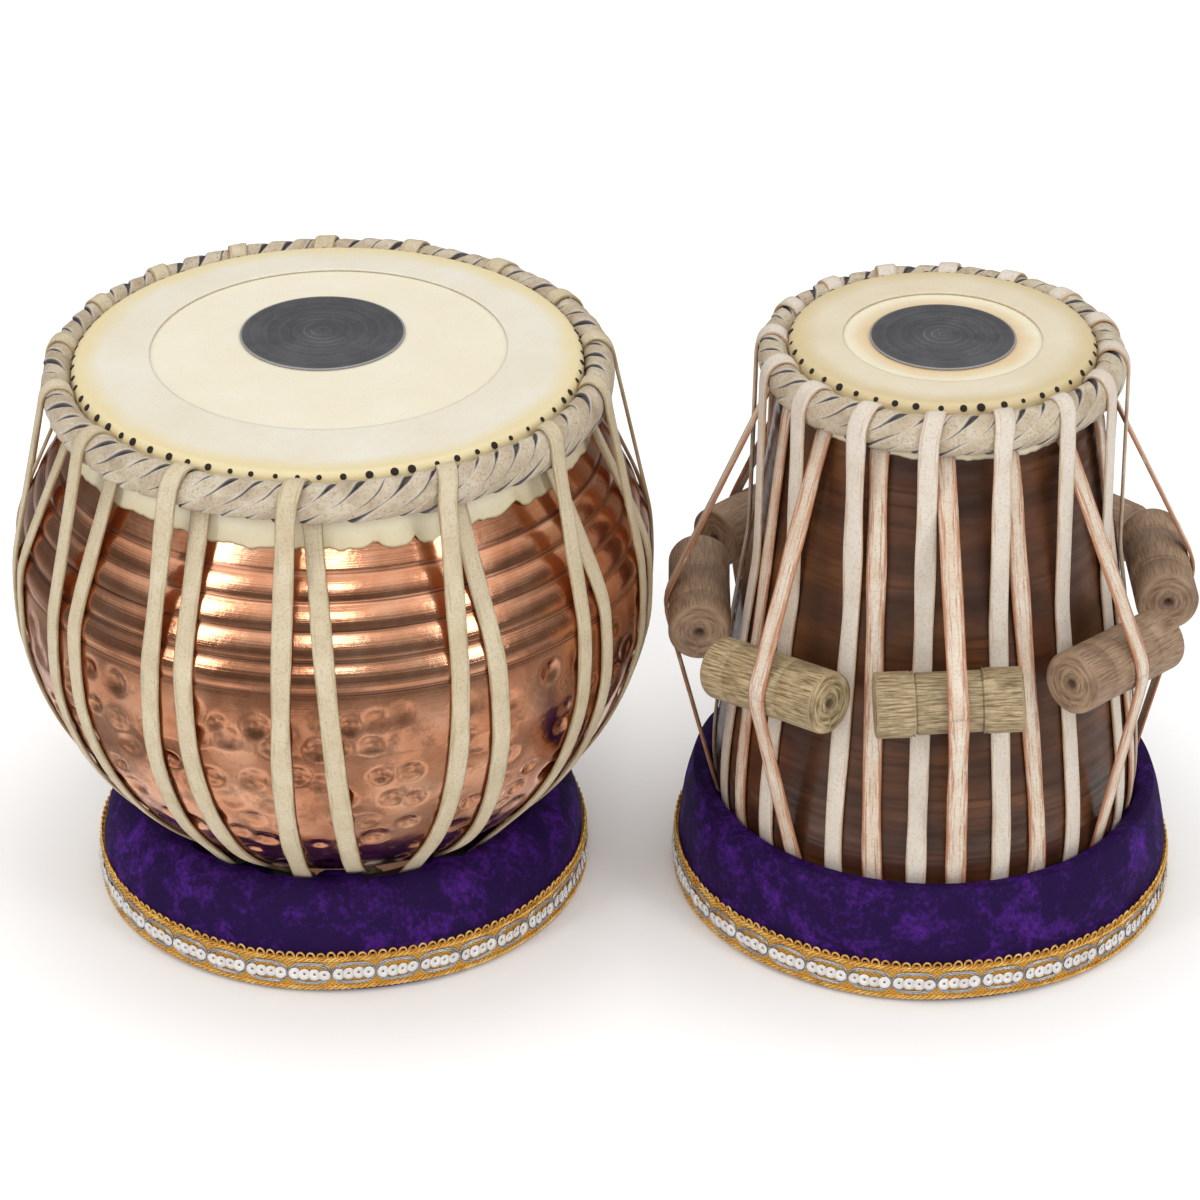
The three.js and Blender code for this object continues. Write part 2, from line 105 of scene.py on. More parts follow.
def material(name, **surface):
    """A new material with its Principled BSDF's own sockets set."""
    made = bpy.data.materials.new(name)
    made.use_nodes = True
    shader = made.node_tree.nodes["Principled BSDF"]
    for key, value in surface.items():
        shader.inputs[key.replace("_", " ")].default_value = value
    return made, made.node_tree, shader


def solid(name, points, faces, finish, smooth=True):
    """A mesh object from its corner points and faces."""
    mesh = bpy.data.meshes.new(name)
    mesh.from_pydata([tuple(p) for p in points], [], faces)
    mesh.update()
    made = bpy.data.objects.new(name, mesh)
    scene.collection.objects.link(made)
    mesh.materials.append(finish)
    if smooth:
        mesh.shade_smooth()
    return made


world = bpy.data.worlds.new("bright_room")
scene.world = world
world.use_nodes = True
room = world.node_tree.nodes["Background"]
room.inputs["Color"].default_value = (1.0, 0.99, 0.975, 1.0)
towards = node(world.node_tree, "ShaderNodeTexCoord").outputs["Generated"]
upwards = node(world.node_tree, "ShaderNodeSeparateXYZ", {"Vector": towards}).outputs["Z"]
above = node(world.node_tree, "ShaderNodeMapRange", {
    "Value": upwards, "From Min": 0.22, "From Max": 0.72, "To Min": 0.13, "To Max": 0.97,
})
below = node(world.node_tree, "ShaderNodeMapRange", {
    "Value": upwards, "From Min": -0.15, "From Max": -0.62, "To Min": 0.0, "To Max": 0.85,
})
clutter = node(world.node_tree, "ShaderNodeTexNoise", {"Vector": towards, "Scale": 3.4, "Detail": 2.0})
broken = node(world.node_tree, "ShaderNodeMapRange", {
    "Value": clutter.outputs["Fac"], "From Min": 0.38, "From Max": 0.6, "To Min": 0.12, "To Max": 1.0,
})
below = node(
    world.node_tree, "ShaderNodeMath",
    {0: below.outputs["Result"], 1: broken.outputs["Result"]}, operation="MULTIPLY",
)
brightness = node(
    world.node_tree, "ShaderNodeMath",
    {0: above.outputs["Result"], 1: below.outputs[0]}, operation="ADD",
)
world.node_tree.links.new(brightness.outputs[0], room.inputs["Strength"])

floor_finish, floor_tree, floor_shader = material("floor_paper", Roughness=0.9)
floor_shader.inputs["Base Color"].default_value = (0.93, 0.93, 0.93, 1.0)
floor_shader.inputs["Specular IOR Level"].default_value = 0.1
floor_shader.inputs["Emission Color"].default_value = (1.0, 1.0, 1.0, 1.0)
# Painted light: the floor glows faintly, with emission up to 0.22, except near the drums, where the glow
# fades out between 0.22 m and 0.09 m from each drum's axis.
ground = node(floor_tree, "ShaderNodeTexCoord").outputs["Object"]
floor_glow = None
for axis in (BASS_AXIS, TREBLE_AXIS):
    off = node(
        floor_tree, "ShaderNodeVectorMath", {0: ground, 1: (*axis, 0.0)}, operation="DISTANCE",
    ).outputs["Value"]
    clear = node(floor_tree, "ShaderNodeMapRange", {
        "Value": off, "From Min": 0.09, "From Max": 0.22, "To Min": 0.0, "To Max": 0.22,
    }).outputs["Result"]
    if floor_glow is None:
        floor_glow = clear
    else:
        nearer = node(floor_tree, "ShaderNodeMath", {0: floor_glow, 1: clear}, operation="MINIMUM")
        floor_glow = nearer.outputs[0]
floor_tree.links.new(floor_glow, floor_shader.inputs["Emission Strength"])
FLOOR_HALF = 40.0
floor = solid(
    "floor",
    [(x * FLOOR_HALF, y * FLOOR_HALF, 0) for x, y in ((-1, -1), (1, -1), (1, 1), (-1, 1))],
    [(0, 1, 2, 3)],
    floor_finish,
)
floor.visible_glossy = False
floor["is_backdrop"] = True


def soft_light(name, place, aim, width, height, watts):
    lamp = bpy.data.lights.new(name, "AREA")
    lamp.shape = "RECTANGLE"
    lamp.size = width
    lamp.size_y = height
    lamp.energy = watts
    made = bpy.data.objects.new(name, lamp)
    made.location = place
    made.rotation_euler = (Vector(aim) - Vector(place)).to_track_quat("-Z", "Y").to_euler()
    scene.collection.objects.link(made)


soft_light("left_box", (-1.5, -1.3, 1.15), (0, 0, 0.15), 0.5, 1.3, 11)
soft_light("right_box", (1.5, -1.35, 1.15), (0, 0, 0.15), 0.5, 1.3, 11)
soft_light("front_box", (-0.1, -2.2, 1.7), (0, 0, 0.15), 0.7, 0.5, 8)
soft_light("top_box", (0.0, 0.3, 2.0), (0, 0, 0.1), 1.6, 1.2, 4)

LENS = 126.0                 # on a 36 mm sensor
CAMERA_PITCH = math.radians(29.85)
CAMERA_RIGHT = -0.1612       # from the treble drum's axis
CAMERA_BACK = 1.7317         # from the bass drum's axis
CAMERA_HEIGHT = 1.1408
camera_data = bpy.data.cameras.new("camera")
camera_data.lens = LENS
camera_data.sensor_width = 36.0
camera_data.shift_x = 0.008
camera_data.shift_y = -0.0035
camera_data.clip_start = 0.05
camera_data.clip_end = 200.0
camera = bpy.data.objects.new("camera", camera_data)
camera.location = (TREBLE_AXIS[0] + CAMERA_RIGHT, BASS_AXIS[1] - CAMERA_BACK, CAMERA_HEIGHT)
camera.rotation_euler = (math.pi / 2 - CAMERA_PITCH, 0.0, 0.0)
scene.collection.objects.link(camera)
scene.camera = camera

# ---------------------------------------------------------------------------------------------
# The bass drum's bowl: spun from one copper sheet, with four rolled ribs on the shoulder, then
# hammered all over the lower half and polished. The rim is turned over under the skins.
# ---------------------------------------------------------------------------------------------


def ring_point(axis, radius, height, angle):
    """A point beside a drum's axis at an angle in radians from the player's side."""
    return (axis[0] + radius * math.sin(angle), axis[1] - radius * math.cos(angle), height)


def turned(name, outline, axis, finish, steps=240):
    """A solid turned from (radius, height) points that start and end on the axis, or close up."""
    points, rows = [], []
    for radius, height in outline:
        if radius < 1e-6:
            rows.append([len(points)] * steps)
            points.append((axis[0], axis[1], height))
            continue
        rows.append(list(range(len(points), len(points) + steps)))
        points += [ring_point(axis, radius, height, 2 * math.pi * k / steps) for k in range(steps)]
    if outline[0][0] > 1e-6:
        rows.append(rows[0])
    faces = []
    for lower, upper in zip(rows, rows[1:]):
        for k in range(steps):
            n = (k + 1) % steps
            corners = [lower[k], lower[n], upper[n], upper[k]]
            faces.append(list(dict.fromkeys(corners)))
    return solid(name, points, faces, finish)


def polar(points, axis):
    """Radius, angle and height of points round an axis, as arrays."""
    x = points[:, 0] - axis[0]
    y = points[:, 1] - axis[1]
    return np.hypot(x, y), np.arctan2(x, -y), points[:, 2].copy()


def points_of(piece):
    points = np.empty(len(piece.data.vertices) * 3)
    piece.data.vertices.foreach_get("co", points)
    return points.reshape(-1, 3)


def move_points(piece, radius, angle, height, axis):
    points = np.stack([axis[0] + radius * np.sin(angle), axis[1] - radius * np.cos(angle), height], 1)
    piece.data.vertices.foreach_set("co", points.astype(np.float32).ravel())
    piece.data.update()


def write_values(piece, label, values):
    """Keeps one value for each corner point, for the finish to read by its label."""
    data = piece.data.attributes.new(label, "FLOAT", "POINT").data
    data.foreach_set("value", np.asarray(values, np.float32))


def write_plan(piece, label, flat):
    """Keeps a flat (u, v) place for each corner point, for the finish to read by its label."""
    corners = np.empty(len(piece.data.loops), dtype=int)
    piece.data.loops.foreach_get("vertex_index", corners)
    layer = piece.data.uv_layers.new(name=label)
    layer.data.foreach_set("uv", flat[corners].astype(np.float32).ravel())


def smooth_noise(points, size, seed=0.0):
    """Soft random values from -1 to 1 at points, with lumps of about a size in metres."""
    shift = Vector((seed * 7.31, seed * 3.77, seed * 5.13))
    return np.array([noise.noise(Vector(p) / size + shift) for p in points])


def spline(stations, count):
    """A smooth line of (radius, height) points through stations."""
    line = []
    last = len(stations) - 1
    for i in range(last):
        p = [np.array(stations[max(0, min(last, i + k))]) for k in (-1, 0, 1, 2)]
        for step in range(count):
            t = step / count
            line.append(tuple(0.5 * (
                2 * p[1] + (p[2] - p[0]) * t + (2 * p[0] - 5 * p[1] + 4 * p[2] - p[3]) * t * t
                + (3 * p[1] - p[0] - 3 * p[2] + p[3]) * t ** 3
            )))
    return line + [tuple(stations[-1])]


BOWL_RADIUS = 0.1505         # the lower bowl is part of a ball
BOWL_CENTRE = 0.172
COPPER_THICKNESS = 0.0014
RIB_HEIGHT = 0.0017
RIB_GROOVES = (0.2305, 0.2197, 0.2080, 0.1952, 0.1815)
copper_low, copper_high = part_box("bayan_shell")


def bowl_line():
    """The outside of the bowl from the foot up to the rim, before the ribs."""
    foot_angle = math.asin((BOWL_CENTRE - copper_low.z) / BOWL_RADIUS)
    belly_angle = math.radians(8.4)
    ball = []
    for i in range(108):
        a = foot_angle + (belly_angle - foot_angle) * i / 107
        ball.append((BOWL_RADIUS * math.cos(a), BOWL_CENTRE - BOWL_RADIUS * math.sin(a)))
    shoulder = spline([
        ball[-1], (0.1486, 0.180), (0.1396, 0.207), (0.1266, 0.2305), (0.1176, 0.247),
        (0.1165, 0.262), (0.115, copper_high.z),
    ], 16)
    return [(0.0, copper_low.z)] + ball + shoulder[1:]


def rib_rise(height):
    """How far the rolled ribs stand out at a height: round between two sharp grooves."""
    for top, bottom in zip(RIB_GROOVES, RIB_GROOVES[1:]):
        if bottom <= height <= top:
            share = (height - bottom) / (top - bottom)
            return RIB_HEIGHT * math.sin(math.pi * share) ** 0.6 - 0.0004
    return 0.0


outside = [(r + (rib_rise(z) if r > 0 else 0), z) for r, z in bowl_line()]
inside = [(max(r - COPPER_THICKNESS, 0.0), max(z, copper_low.z + COPPER_THICKNESS)) for r, z in bowl_line()]

copper, copper_tree, copper_shader = material("hammered_copper", Metallic=1.0)
copper_bowl = turned("copper_bowl", outside + inside[::-4] + inside[:1], BASS_AXIS, copper, steps=480)

# hammer marks: shallow round dents in uneven rows, each row a little shifted
random.seed(11)
hammer_marks = []
row_height = 0.166
while row_height > 0.045:
    row_radius = math.sqrt(BOWL_RADIUS ** 2 - (BOWL_CENTRE - row_height) ** 2)
    count = int(2 * math.pi * row_radius / 0.0178)
    turn = random.random()
    for k in range(count):
        if random.random() < 0.08:
            continue
        angle = 2 * math.pi * (k + turn + random.uniform(-0.4, 0.4)) / count
        place = ring_point(BASS_AXIS, row_radius, row_height + random.uniform(-0.006, 0.006), angle)
        hammer_marks.append((place, random.uniform(0.0036, 0.0058), random.uniform(0.0007, 0.0018)))
    row_height -= 0.0145 * math.sqrt(1 - ((BOWL_CENTRE - row_height) / BOWL_RADIUS) ** 2) + 0.001
bowl_points = points_of(copper_bowl)
radius, angle, height = polar(bowl_points, BASS_AXIS)
dent = np.zeros(len(bowl_points))
for place, size, depth in hammer_marks:
    near = np.flatnonzero(np.abs(bowl_points - np.array(place)).max(1) < size * 2.4)
    away = np.linalg.norm(bowl_points[near] - np.array(place), axis=1) / size
    dent[near] = np.maximum(dent[near], depth * np.clip(1.2 * (1 - (away / 1.35) ** 2), 0, 1) ** 1.35)
wobble = smooth_noise(bowl_points, 0.03) * 0.0004 * np.clip((0.2 - height) / 0.05, 0.15, 1.0)
out = np.stack([np.sin(angle), -np.cos(angle), np.zeros(len(angle))], 1) * radius[:, None]
out[:, 2] = np.where(height < BOWL_CENTRE, height - BOWL_CENTRE, 0)
out /= np.maximum(np.linalg.norm(out, axis=1), 1e-6)[:, None]
bowl_points += out * (wobble - dent)[:, None]
copper_bowl.data.vertices.foreach_set("co", bowl_points.astype(np.float32).ravel())
write_values(copper_bowl, "dent", dent)
copper_bowl.data.update()


def shader_group(name, inputs, outputs):
    """An empty node group for an effect that several finishes use."""
    group = bpy.data.node_groups.new(name, "ShaderNodeTree")
    for label, kind, value in inputs:
        socket = group.interface.new_socket(label, in_out="INPUT", socket_type=kind)
        if value is not None:
            socket.default_value = value
    for label, kind in outputs:
        group.interface.new_socket(label, in_out="OUTPUT", socket_type=kind)
    return group, node(group, "NodeGroupInput"), node(group, "NodeGroupOutput")


def use_group(tree, group, **inputs):
    made = node(tree, "ShaderNodeGroup", node_tree=group)
    for key, value in inputs.items():
        socket = made.inputs[key.replace("_", " ")]
        if isinstance(value, bpy.types.NodeSocket):
            tree.links.new(value, socket)
        else:
            socket.default_value = value
    return made.outputs


def ramp(tree, value, *stops):
    """A colour that changes through (position, colour) stops as a value goes from 0 to 1."""
    made = node(tree, "ShaderNodeValToRGB", {"Fac": value})
    elements = made.color_ramp.elements
    while len(elements) < len(stops):
        elements.new(0.5)
    for element, (position, color) in zip(elements, stops):
        element.position = position
        element.color = (*color, 1.0)
    return made.outputs["Color"]


def mixed(tree, share, first, second, mode="MIX"):
    """Two colours mixed by a share from 0 to 1."""
    made = node(tree, "ShaderNodeMix", data_type="RGBA", blend_type=mode)
    for socket, value in ((made.inputs[0], share), (made.inputs[6], first), (made.inputs[7], second)):
        if isinstance(value, bpy.types.NodeSocket):
            tree.links.new(value, socket)
        else:
            socket.default_value = (*value, 1.0) if isinstance(value, tuple) else value
    return made.outputs[2]


def maths(tree, operation, *values):
    made = node(tree, "ShaderNodeMath", operation=operation)
    for socket, value in zip(made.inputs, values):
        if isinstance(value, bpy.types.NodeSocket):
            tree.links.new(value, socket)
        else:
            socket.default_value = value
    return made.outputs[0]


def remap(tree, value, low, high, to_low=0.0, to_high=1.0):
    made = node(tree, "ShaderNodeMapRange", {
        "Value": value, "From Min": low, "From Max": high, "To Min": to_low, "To Max": to_high,
    })
    return made.outputs["Result"]


def relief_of(tree, shader, height, strength, distance):
    """Fine relief on a finish, from a height that changes over it."""
    surface = node(tree, "ShaderNodeBump", {"Height": height, "Strength": strength, "Distance": distance})
    tree.links.new(surface.outputs["Normal"], shader.inputs["Normal"])


# Blotches: soft patches and fine grain in one place, used by the metal, the hides and the woods.
blotches, blotch_in, blotch_out = shader_group(
    "blotches",
    [
        ("Vector", "NodeSocketVector", None),
        ("Patch", "NodeSocketFloat", 20.0),
        ("Grain", "NodeSocketFloat", 400.0),
    ],
    [("Patches", "NodeSocketFloat"), ("Grains", "NodeSocketFloat")],
)
patch_noise = node(blotches, "ShaderNodeTexNoise", {
    "Vector": blotch_in.outputs["Vector"], "Scale": blotch_in.outputs["Patch"],
    "Detail": 4.0, "Roughness": 0.6,
})
grain_noise = node(blotches, "ShaderNodeTexNoise", {
    "Vector": blotch_in.outputs["Vector"], "Scale": blotch_in.outputs["Grain"], "Detail": 3.0,
})
blotches.links.new(remap(blotches, patch_noise.outputs["Fac"], 0.3, 0.7), blotch_out.inputs["Patches"])
blotches.links.new(remap(blotches, grain_noise.outputs["Fac"], 0.3, 0.7), blotch_out.inputs["Grains"])


def where(tree, scale=(1.0, 1.0, 1.0)):
    """The place on the object in metres, stretched by a scale."""
    place = node(tree, "ShaderNodeTexCoord").outputs["Object"]
    return node(tree, "ShaderNodeMapping", {"Vector": place, "Scale": scale}).outputs["Vector"]


tree = copper_tree
place = where(tree)
height_of = node(tree, "ShaderNodeSeparateXYZ", {"Vector": place}).outputs["Z"]
patches, grains = use_group(tree, blotches, Vector=place, Patch=26.0, Grain=260.0)
turning = node(tree, "ShaderNodeTexNoise", {
    "Vector": where(tree, (3.0, 3.0, 1500.0)), "Scale": 1.0, "Detail": 3.0,
})
dented = node(tree, "ShaderNodeAttribute", attribute_name="dent").outputs["Fac"]
base = ramp(tree, patches, (0.1, (0.62, 0.25, 0.13)), (0.5, (0.80, 0.37, 0.21)), (0.9, (0.90, 0.49, 0.31)))
hollow = remap(tree, dented, 0.0002, 0.0014)
base = mixed(tree, maths(tree, "MULTIPLY", hollow, 0.45), base, (0.50, 0.20, 0.10))
hammered_zone = remap(tree, height_of, 0.185, 0.165)
tarnish = node(tree, "ShaderNodeTexNoise", {"Vector": place, "Scale": 60.0, "Detail": 6.0, "Roughness": 0.7})
tarnish_share = maths(tree, "MULTIPLY", remap(tree, tarnish.outputs["Fac"], 0.52, 0.66), hammered_zone)
base = mixed(tree, maths(tree, "MULTIPLY", tarnish_share, 0.55), base, (0.30, 0.15, 0.09))
groove_share = None
for groove in RIB_GROOVES:
    beside = maths(tree, "ABSOLUTE", maths(tree, "SUBTRACT", height_of, groove))
    line = remap(tree, beside, 0.0019, 0.0004)
    groove_share = line if groove_share is None else maths(tree, "MAXIMUM", groove_share, line)
streaks = remap(tree, turning.outputs["Fac"], 0.35, 0.6)
# painted shade: the sharp grooves between the ribs are darkened almost to black, more strongly where the
# turning streaks are
groove_shade = maths(tree, "MULTIPLY", groove_share, maths(tree, "MULTIPLY", streaks, 0.85))
base = mixed(tree, groove_shade, base, (0.10, 0.045, 0.03))
shoulder_zone = remap(tree, height_of, 0.165, 0.19)
scratch = maths(tree, "MULTIPLY", shoulder_zone, remap(tree, turning.outputs["Fac"], 0.58, 0.7))
base = mixed(tree, maths(tree, "MULTIPLY", scratch, 0.4), base, (0.28, 0.12, 0.07))
tree.links.new(base, copper_shader.inputs["Base Color"])
polish = remap(tree, patches, 0.0, 1.0, 0.13, 0.22)
rough = maths(tree, "ADD", polish, maths(tree, "MULTIPLY", tarnish_share, 0.18))
rough = maths(tree, "ADD", rough, maths(tree, "MULTIPLY", groove_share, 0.2))
tree.links.new(rough, copper_shader.inputs["Roughness"])
turned_lines = maths(tree, "MULTIPLY", turning.outputs["Fac"], shoulder_zone)
relief = maths(tree, "ADD", turned_lines, maths(tree, "MULTIPLY", grains, 0.35))
relief_of(tree, copper_shader, relief, 0.35, 0.0003)

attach(copper_bowl, "bayan")
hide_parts("bayan_shell")

# ---------------------------------------------------------------------------------------------
# The treble drum's body: a log of dark hardwood turned outside, hollowed from the top, lacquered.
# Its wall swells down to a low belly and tucks in to a small foot.
# ---------------------------------------------------------------------------------------------

wood_low, wood_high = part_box("dayan_shell")
WOOD_FOOT = 0.076
WOOD_BELLY = 0.1003
WOOD_BELLY_HEIGHT = 0.065


def wood_line():
    """The outside of the wooden body from the foot up to the rim."""
    foot = []
    for i in range(24):
        a = math.pi / 2 * (1 - i / 23)
        foot.append((
            WOOD_FOOT + (WOOD_BELLY - WOOD_FOOT) * math.cos(a),
            WOOD_BELLY_HEIGHT - (WOOD_BELLY_HEIGHT - wood_low.z) * math.sin(a),
        ))
    wall = spline([
        foot[-1], (0.0987, 0.091), (0.0900, 0.155), (0.0798, 0.223), (0.0736, 0.262), (0.0677, wood_high.z),
    ], 24)
    return [(0.0, wood_low.z)] + foot + wall[1:]


body_line = wood_line()
hollow_line = [
    (0.0587, wood_high.z), (0.065, 0.24), (0.075, 0.17), (0.082, 0.10), (0.078, 0.075),
    (0.05, 0.063), (0.0, 0.061),
]
dark_wood, tree, dark_shader = material("lacquered_wood", Coat_Weight=0.55, Coat_Roughness=0.16)
wooden_body = turned("wooden_body", body_line + hollow_line, TREBLE_AXIS, dark_wood, steps=200)
wall_points = points_of(wooden_body)
radius, angle, height = polar(wall_points, TREBLE_AXIS)
lathe_rings = 0.00018 * np.sin(height * 900) * np.sin(height * 233 + 1)
for line in (0.252, 0.196, 0.122, 0.086):
    lathe_rings -= 0.0005 * np.exp(-((height - line) / 0.0009) ** 2)
move_points(wooden_body, radius + lathe_rings, angle, height, TREBLE_AXIS)

place = where(tree)
patches, grains = use_group(tree, blotches, Vector=where(tree, (1.0, 1.0, 2.2)), Patch=14.0, Grain=160.0)
ringed = node(tree, "ShaderNodeTexNoise", {
    "Vector": where(tree, (14.0, 14.0, 420.0)), "Scale": 1.0, "Detail": 4.0,
})
flame = node(tree, "ShaderNodeTexNoise", {
    "Vector": where(tree, (22.0, 22.0, 60.0)), "Scale": 1.0, "Detail": 5.0,
})
base = ramp(
    tree, flame.outputs["Fac"],
    (0.30, (0.026, 0.009, 0.004)), (0.46, (0.060, 0.020, 0.008)),
    (0.58, (0.105, 0.036, 0.012)), (0.74, (0.17, 0.062, 0.019)),
)
base = mixed(tree, remap(tree, ringed.outputs["Fac"], 0.5, 0.66, 0.0, 0.7), base, (0.030, 0.010, 0.005))
base = mixed(tree, maths(tree, "MULTIPLY", patches, 0.2), base, (0.19, 0.07, 0.02))
tree.links.new(base, dark_shader.inputs["Base Color"])
tree.links.new(remap(tree, grains, 0.0, 1.0, 0.28, 0.42), dark_shader.inputs["Roughness"])
relief_of(tree, dark_shader, ringed.outputs["Fac"], 0.25, 0.0004)

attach(wooden_body, "dayan")
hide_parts("dayan_shell")

# ---------------------------------------------------------------------------------------------
# The heads. A main skin covers the rim and its torn edge hangs below the braid; a second skin
# with a large hole is glued on top as a ring, and a narrow third one lines the rim underneath.
# ---------------------------------------------------------------------------------------------


def plan_coordinates(piece, centre):
    """Writes each corner's place seen from above, from a centre, for finishes that follow rings."""
    write_plan(piece, "plan", points_of(piece)[:, :2] - np.array(centre))


def plan_distance(tree):
    """Distance from the centre that plan_coordinates was given."""
    seen = node(tree, "ShaderNodeUVMap", uv_map="plan").outputs["UV"]
    return node(tree, "ShaderNodeVectorMath", {0: seen}, operation="LENGTH").outputs["Value"]


def skin_finish(name, pale, warm, edge, edge_start, edge_end, ring_tint=None):
    """Scraped hide: pale, mottled, with an uneven ochre border where glue and sizing darken it."""
    made, tree, shader = material(name, Roughness=0.5)
    shader.inputs["Subsurface Weight"].default_value = 0.06
    shader.inputs["Subsurface Radius"].default_value = (0.004, 0.003, 0.002)
    place = where(tree)
    patches, grains = use_group(tree, blotches, Vector=place, Patch=22.0, Grain=700.0)
    base = mixed(tree, patches, pale, warm)
    away = plan_distance(tree)
    uneven = node(tree, "ShaderNodeTexNoise", {"Vector": place, "Scale": 45.0, "Detail": 5.0}).outputs["Fac"]
    reach = maths(tree, "ADD", away, maths(tree, "MULTIPLY", maths(tree, "SUBTRACT", uneven, 0.5), 0.008))
    border = remap(tree, reach, edge_start, edge_end)
    base = mixed(tree, maths(tree, "MULTIPLY", border, 0.8), base, edge)
    if ring_tint:
        tint, inner, outer = ring_tint
        base = mixed(tree, remap(tree, reach, outer, inner, 0.0, 0.75), base, tint)
    pores = remap(tree, grains, 0.75, 1.0, 0.0, 0.16)
    base = mixed(tree, pores, base, (0.45, 0.36, 0.22))
    hem = node(tree, "ShaderNodeAttribute", attribute_name="hem").outputs["Fac"]
    hem_stain = maths(tree, "MULTIPLY", remap(tree, hem, 0.5, 1.0, 0.0, 0.5), uneven)
    base = mixed(tree, hem_stain, base, (0.50, 0.38, 0.18))
    base = mixed(tree, remap(tree, hem, 0.93, 0.995, 0.0, 0.8), base, (0.22, 0.13, 0.06))
    tree.links.new(base, shader.inputs["Base Color"])
    tree.links.new(remap(tree, patches, 0.0, 1.0, 0.42, 0.58), shader.inputs["Roughness"])
    relief = maths(tree, "ADD", grains, maths(tree, "MULTIPLY", patches, 2.0))
    relief_of(tree, shader, relief, 0.25, 0.0002)
    return made


def layer_outline(top_line, thickness):
    """A layer's closed outline from its top line, drawn from the middle outwards and down."""
    lower = []
    for i, (r, z) in enumerate(top_line):
        before = top_line[max(i - 1, 0)]
        after = top_line[min(i + 1, len(top_line) - 1)]
        along = Vector((after[0] - before[0], after[1] - before[1])).normalized()
        lower.append((max(r + along.y * thickness, 0.0), z - along.x * thickness))
    return lower[::-1] + list(top_line)


def rounded_edge(radius, height, roll, steps=8):
    """The quarter circle over which a skin turns down at the rim."""
    turns = [math.pi / 2 * k / steps for k in range(steps + 1)]
    return [(radius - roll + roll * math.sin(a), height - roll + roll * math.cos(a)) for a in turns]


def main_skin(name, node_name, axis, rim, skirt_line, finish, ragged):
    """The main skin as one sheet: flat over the rim, down the side, ending in an uneven skirt."""
    low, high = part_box(node_name)
    flat = [(rim * k / 12, high.z) for k in range(11)]
    line = flat + rounded_edge(rim + 0.0013, high.z, 0.003) + spline(skirt_line, 6)
    made = turned(name, layer_outline(line, 0.0009), axis, finish, steps=360)
    radius, angle, height = polar(points_of(made), axis)
    hem = low.z
    start = hem + 0.016
    reach = np.clip((start - height) / (start - hem), 0, 1)
    around = np.stack([np.cos(angle), np.sin(angle), np.zeros(len(angle))], 1)
    tear = smooth_noise(around, 0.22, 3) * 0.0035 + smooth_noise(around, 0.035, 5) * 0.0016
    for number in range(22):
        notch = random.uniform(-math.pi, math.pi)
        off = (angle - notch + math.pi) % (2 * math.pi) - math.pi
        tear += random.uniform(0.001, 0.0055) * np.exp(-(off * rim / random.uniform(0.0016, 0.004)) ** 2)
    height += reach * (tear * ragged + 0.001)
    radius += reach * np.abs(smooth_noise(around, 0.11, 8)) * 0.0016 * ragged
    move_points(made, radius, angle, height, axis)
    write_values(made, "hem", reach)
    plan_coordinates(made, axis)
    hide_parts(node_name)
    return made


def top_ring(name, node_name, axis, rim, hole, hole_back, finish):
    """The ring of skin on top, its hole's edge a thin raised step, its outside turned down."""
    low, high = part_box(node_name)
    thickness = 0.0008
    step = [(hole, high.z - thickness * 0.2), (hole + 0.0006, high.z)]
    flat = [(hole + 0.002 + (rim - 0.004 - hole - 0.002) * k / 10, high.z) for k in range(11)]
    side = [(rim + 0.0003, high.z - 0.0055), (rim + 0.0006, low.z)]
    line = step + flat + rounded_edge(rim, high.z, 0.0034) + side
    made = turned(name, layer_outline(line, thickness), axis, finish, steps=240)
    points = points_of(made)
    radius, angle, height = polar(points, axis)
    share = np.clip((rim - 0.004 - radius) / (rim - 0.004 - hole), 0, 1)
    points[:, 1] += share * hole_back
    around = np.stack([np.cos(angle), np.sin(angle), np.zeros(len(angle))], 1)
    points[:, 2] += share ** 8 * smooth_noise(around, 0.3, 4) * 0.0001
    made.data.vertices.foreach_set("co", points.astype(np.float32).ravel())
    plan_coordinates(made, axis)
    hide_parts(node_name)
    return made


random.seed(4)
bass_skin = skin_finish(
    "bass_main_skin", (0.84, 0.79, 0.64), (0.80, 0.73, 0.56), (0.74, 0.65, 0.42), 0.1165, 0.122,
)
bass_head = main_skin(
    "bass_main_skin", "bayan_main_skin", BASS_AXIS, 0.115,
    [(0.1169, 0.262), (0.1190, 0.247), (0.1216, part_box("bayan_main_skin")[0].z)], bass_skin, 1.0,
)
bass_ring_skin = skin_finish(
    "bass_top_ring_skin", (0.80, 0.76, 0.66), (0.74, 0.68, 0.53), (0.76, 0.63, 0.33), 0.104, 0.1125,
)
bass_ring = top_ring(
    "bass_top_ring", "bayan_top_ring", BASS_AXIS,
    rim=0.1176, hole=0.0825, hole_back=0.008, finish=bass_ring_skin,
)

treble_skin = skin_finish(
    "treble_main_skin", (0.80, 0.71, 0.52), (0.76, 0.62, 0.40), (0.84, 0.79, 0.62), 0.039, 0.0435,
    ring_tint=((0.70, 0.50, 0.27), 0.034, 0.040),
)
treble_head = main_skin(
    "treble_main_skin", "dayan_main_skin", TREBLE_AXIS, 0.0677,
    [(0.0712, 0.277), (0.0735, 0.270), (0.0750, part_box("dayan_main_skin")[0].z)], treble_skin, 0.4,
)
treble_ring_skin = skin_finish(
    "treble_top_ring_skin", (0.76, 0.69, 0.53), (0.68, 0.58, 0.41), (0.62, 0.49, 0.25), 0.057, 0.066,
)
treble_ring = top_ring(
    "treble_top_ring", "dayan_top_ring", TREBLE_AXIS,
    rim=0.0702, hole=0.0455, hole_back=0.0, finish=treble_ring_skin,
)
for piece in (bass_head, bass_ring):
    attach(piece, "bayan")
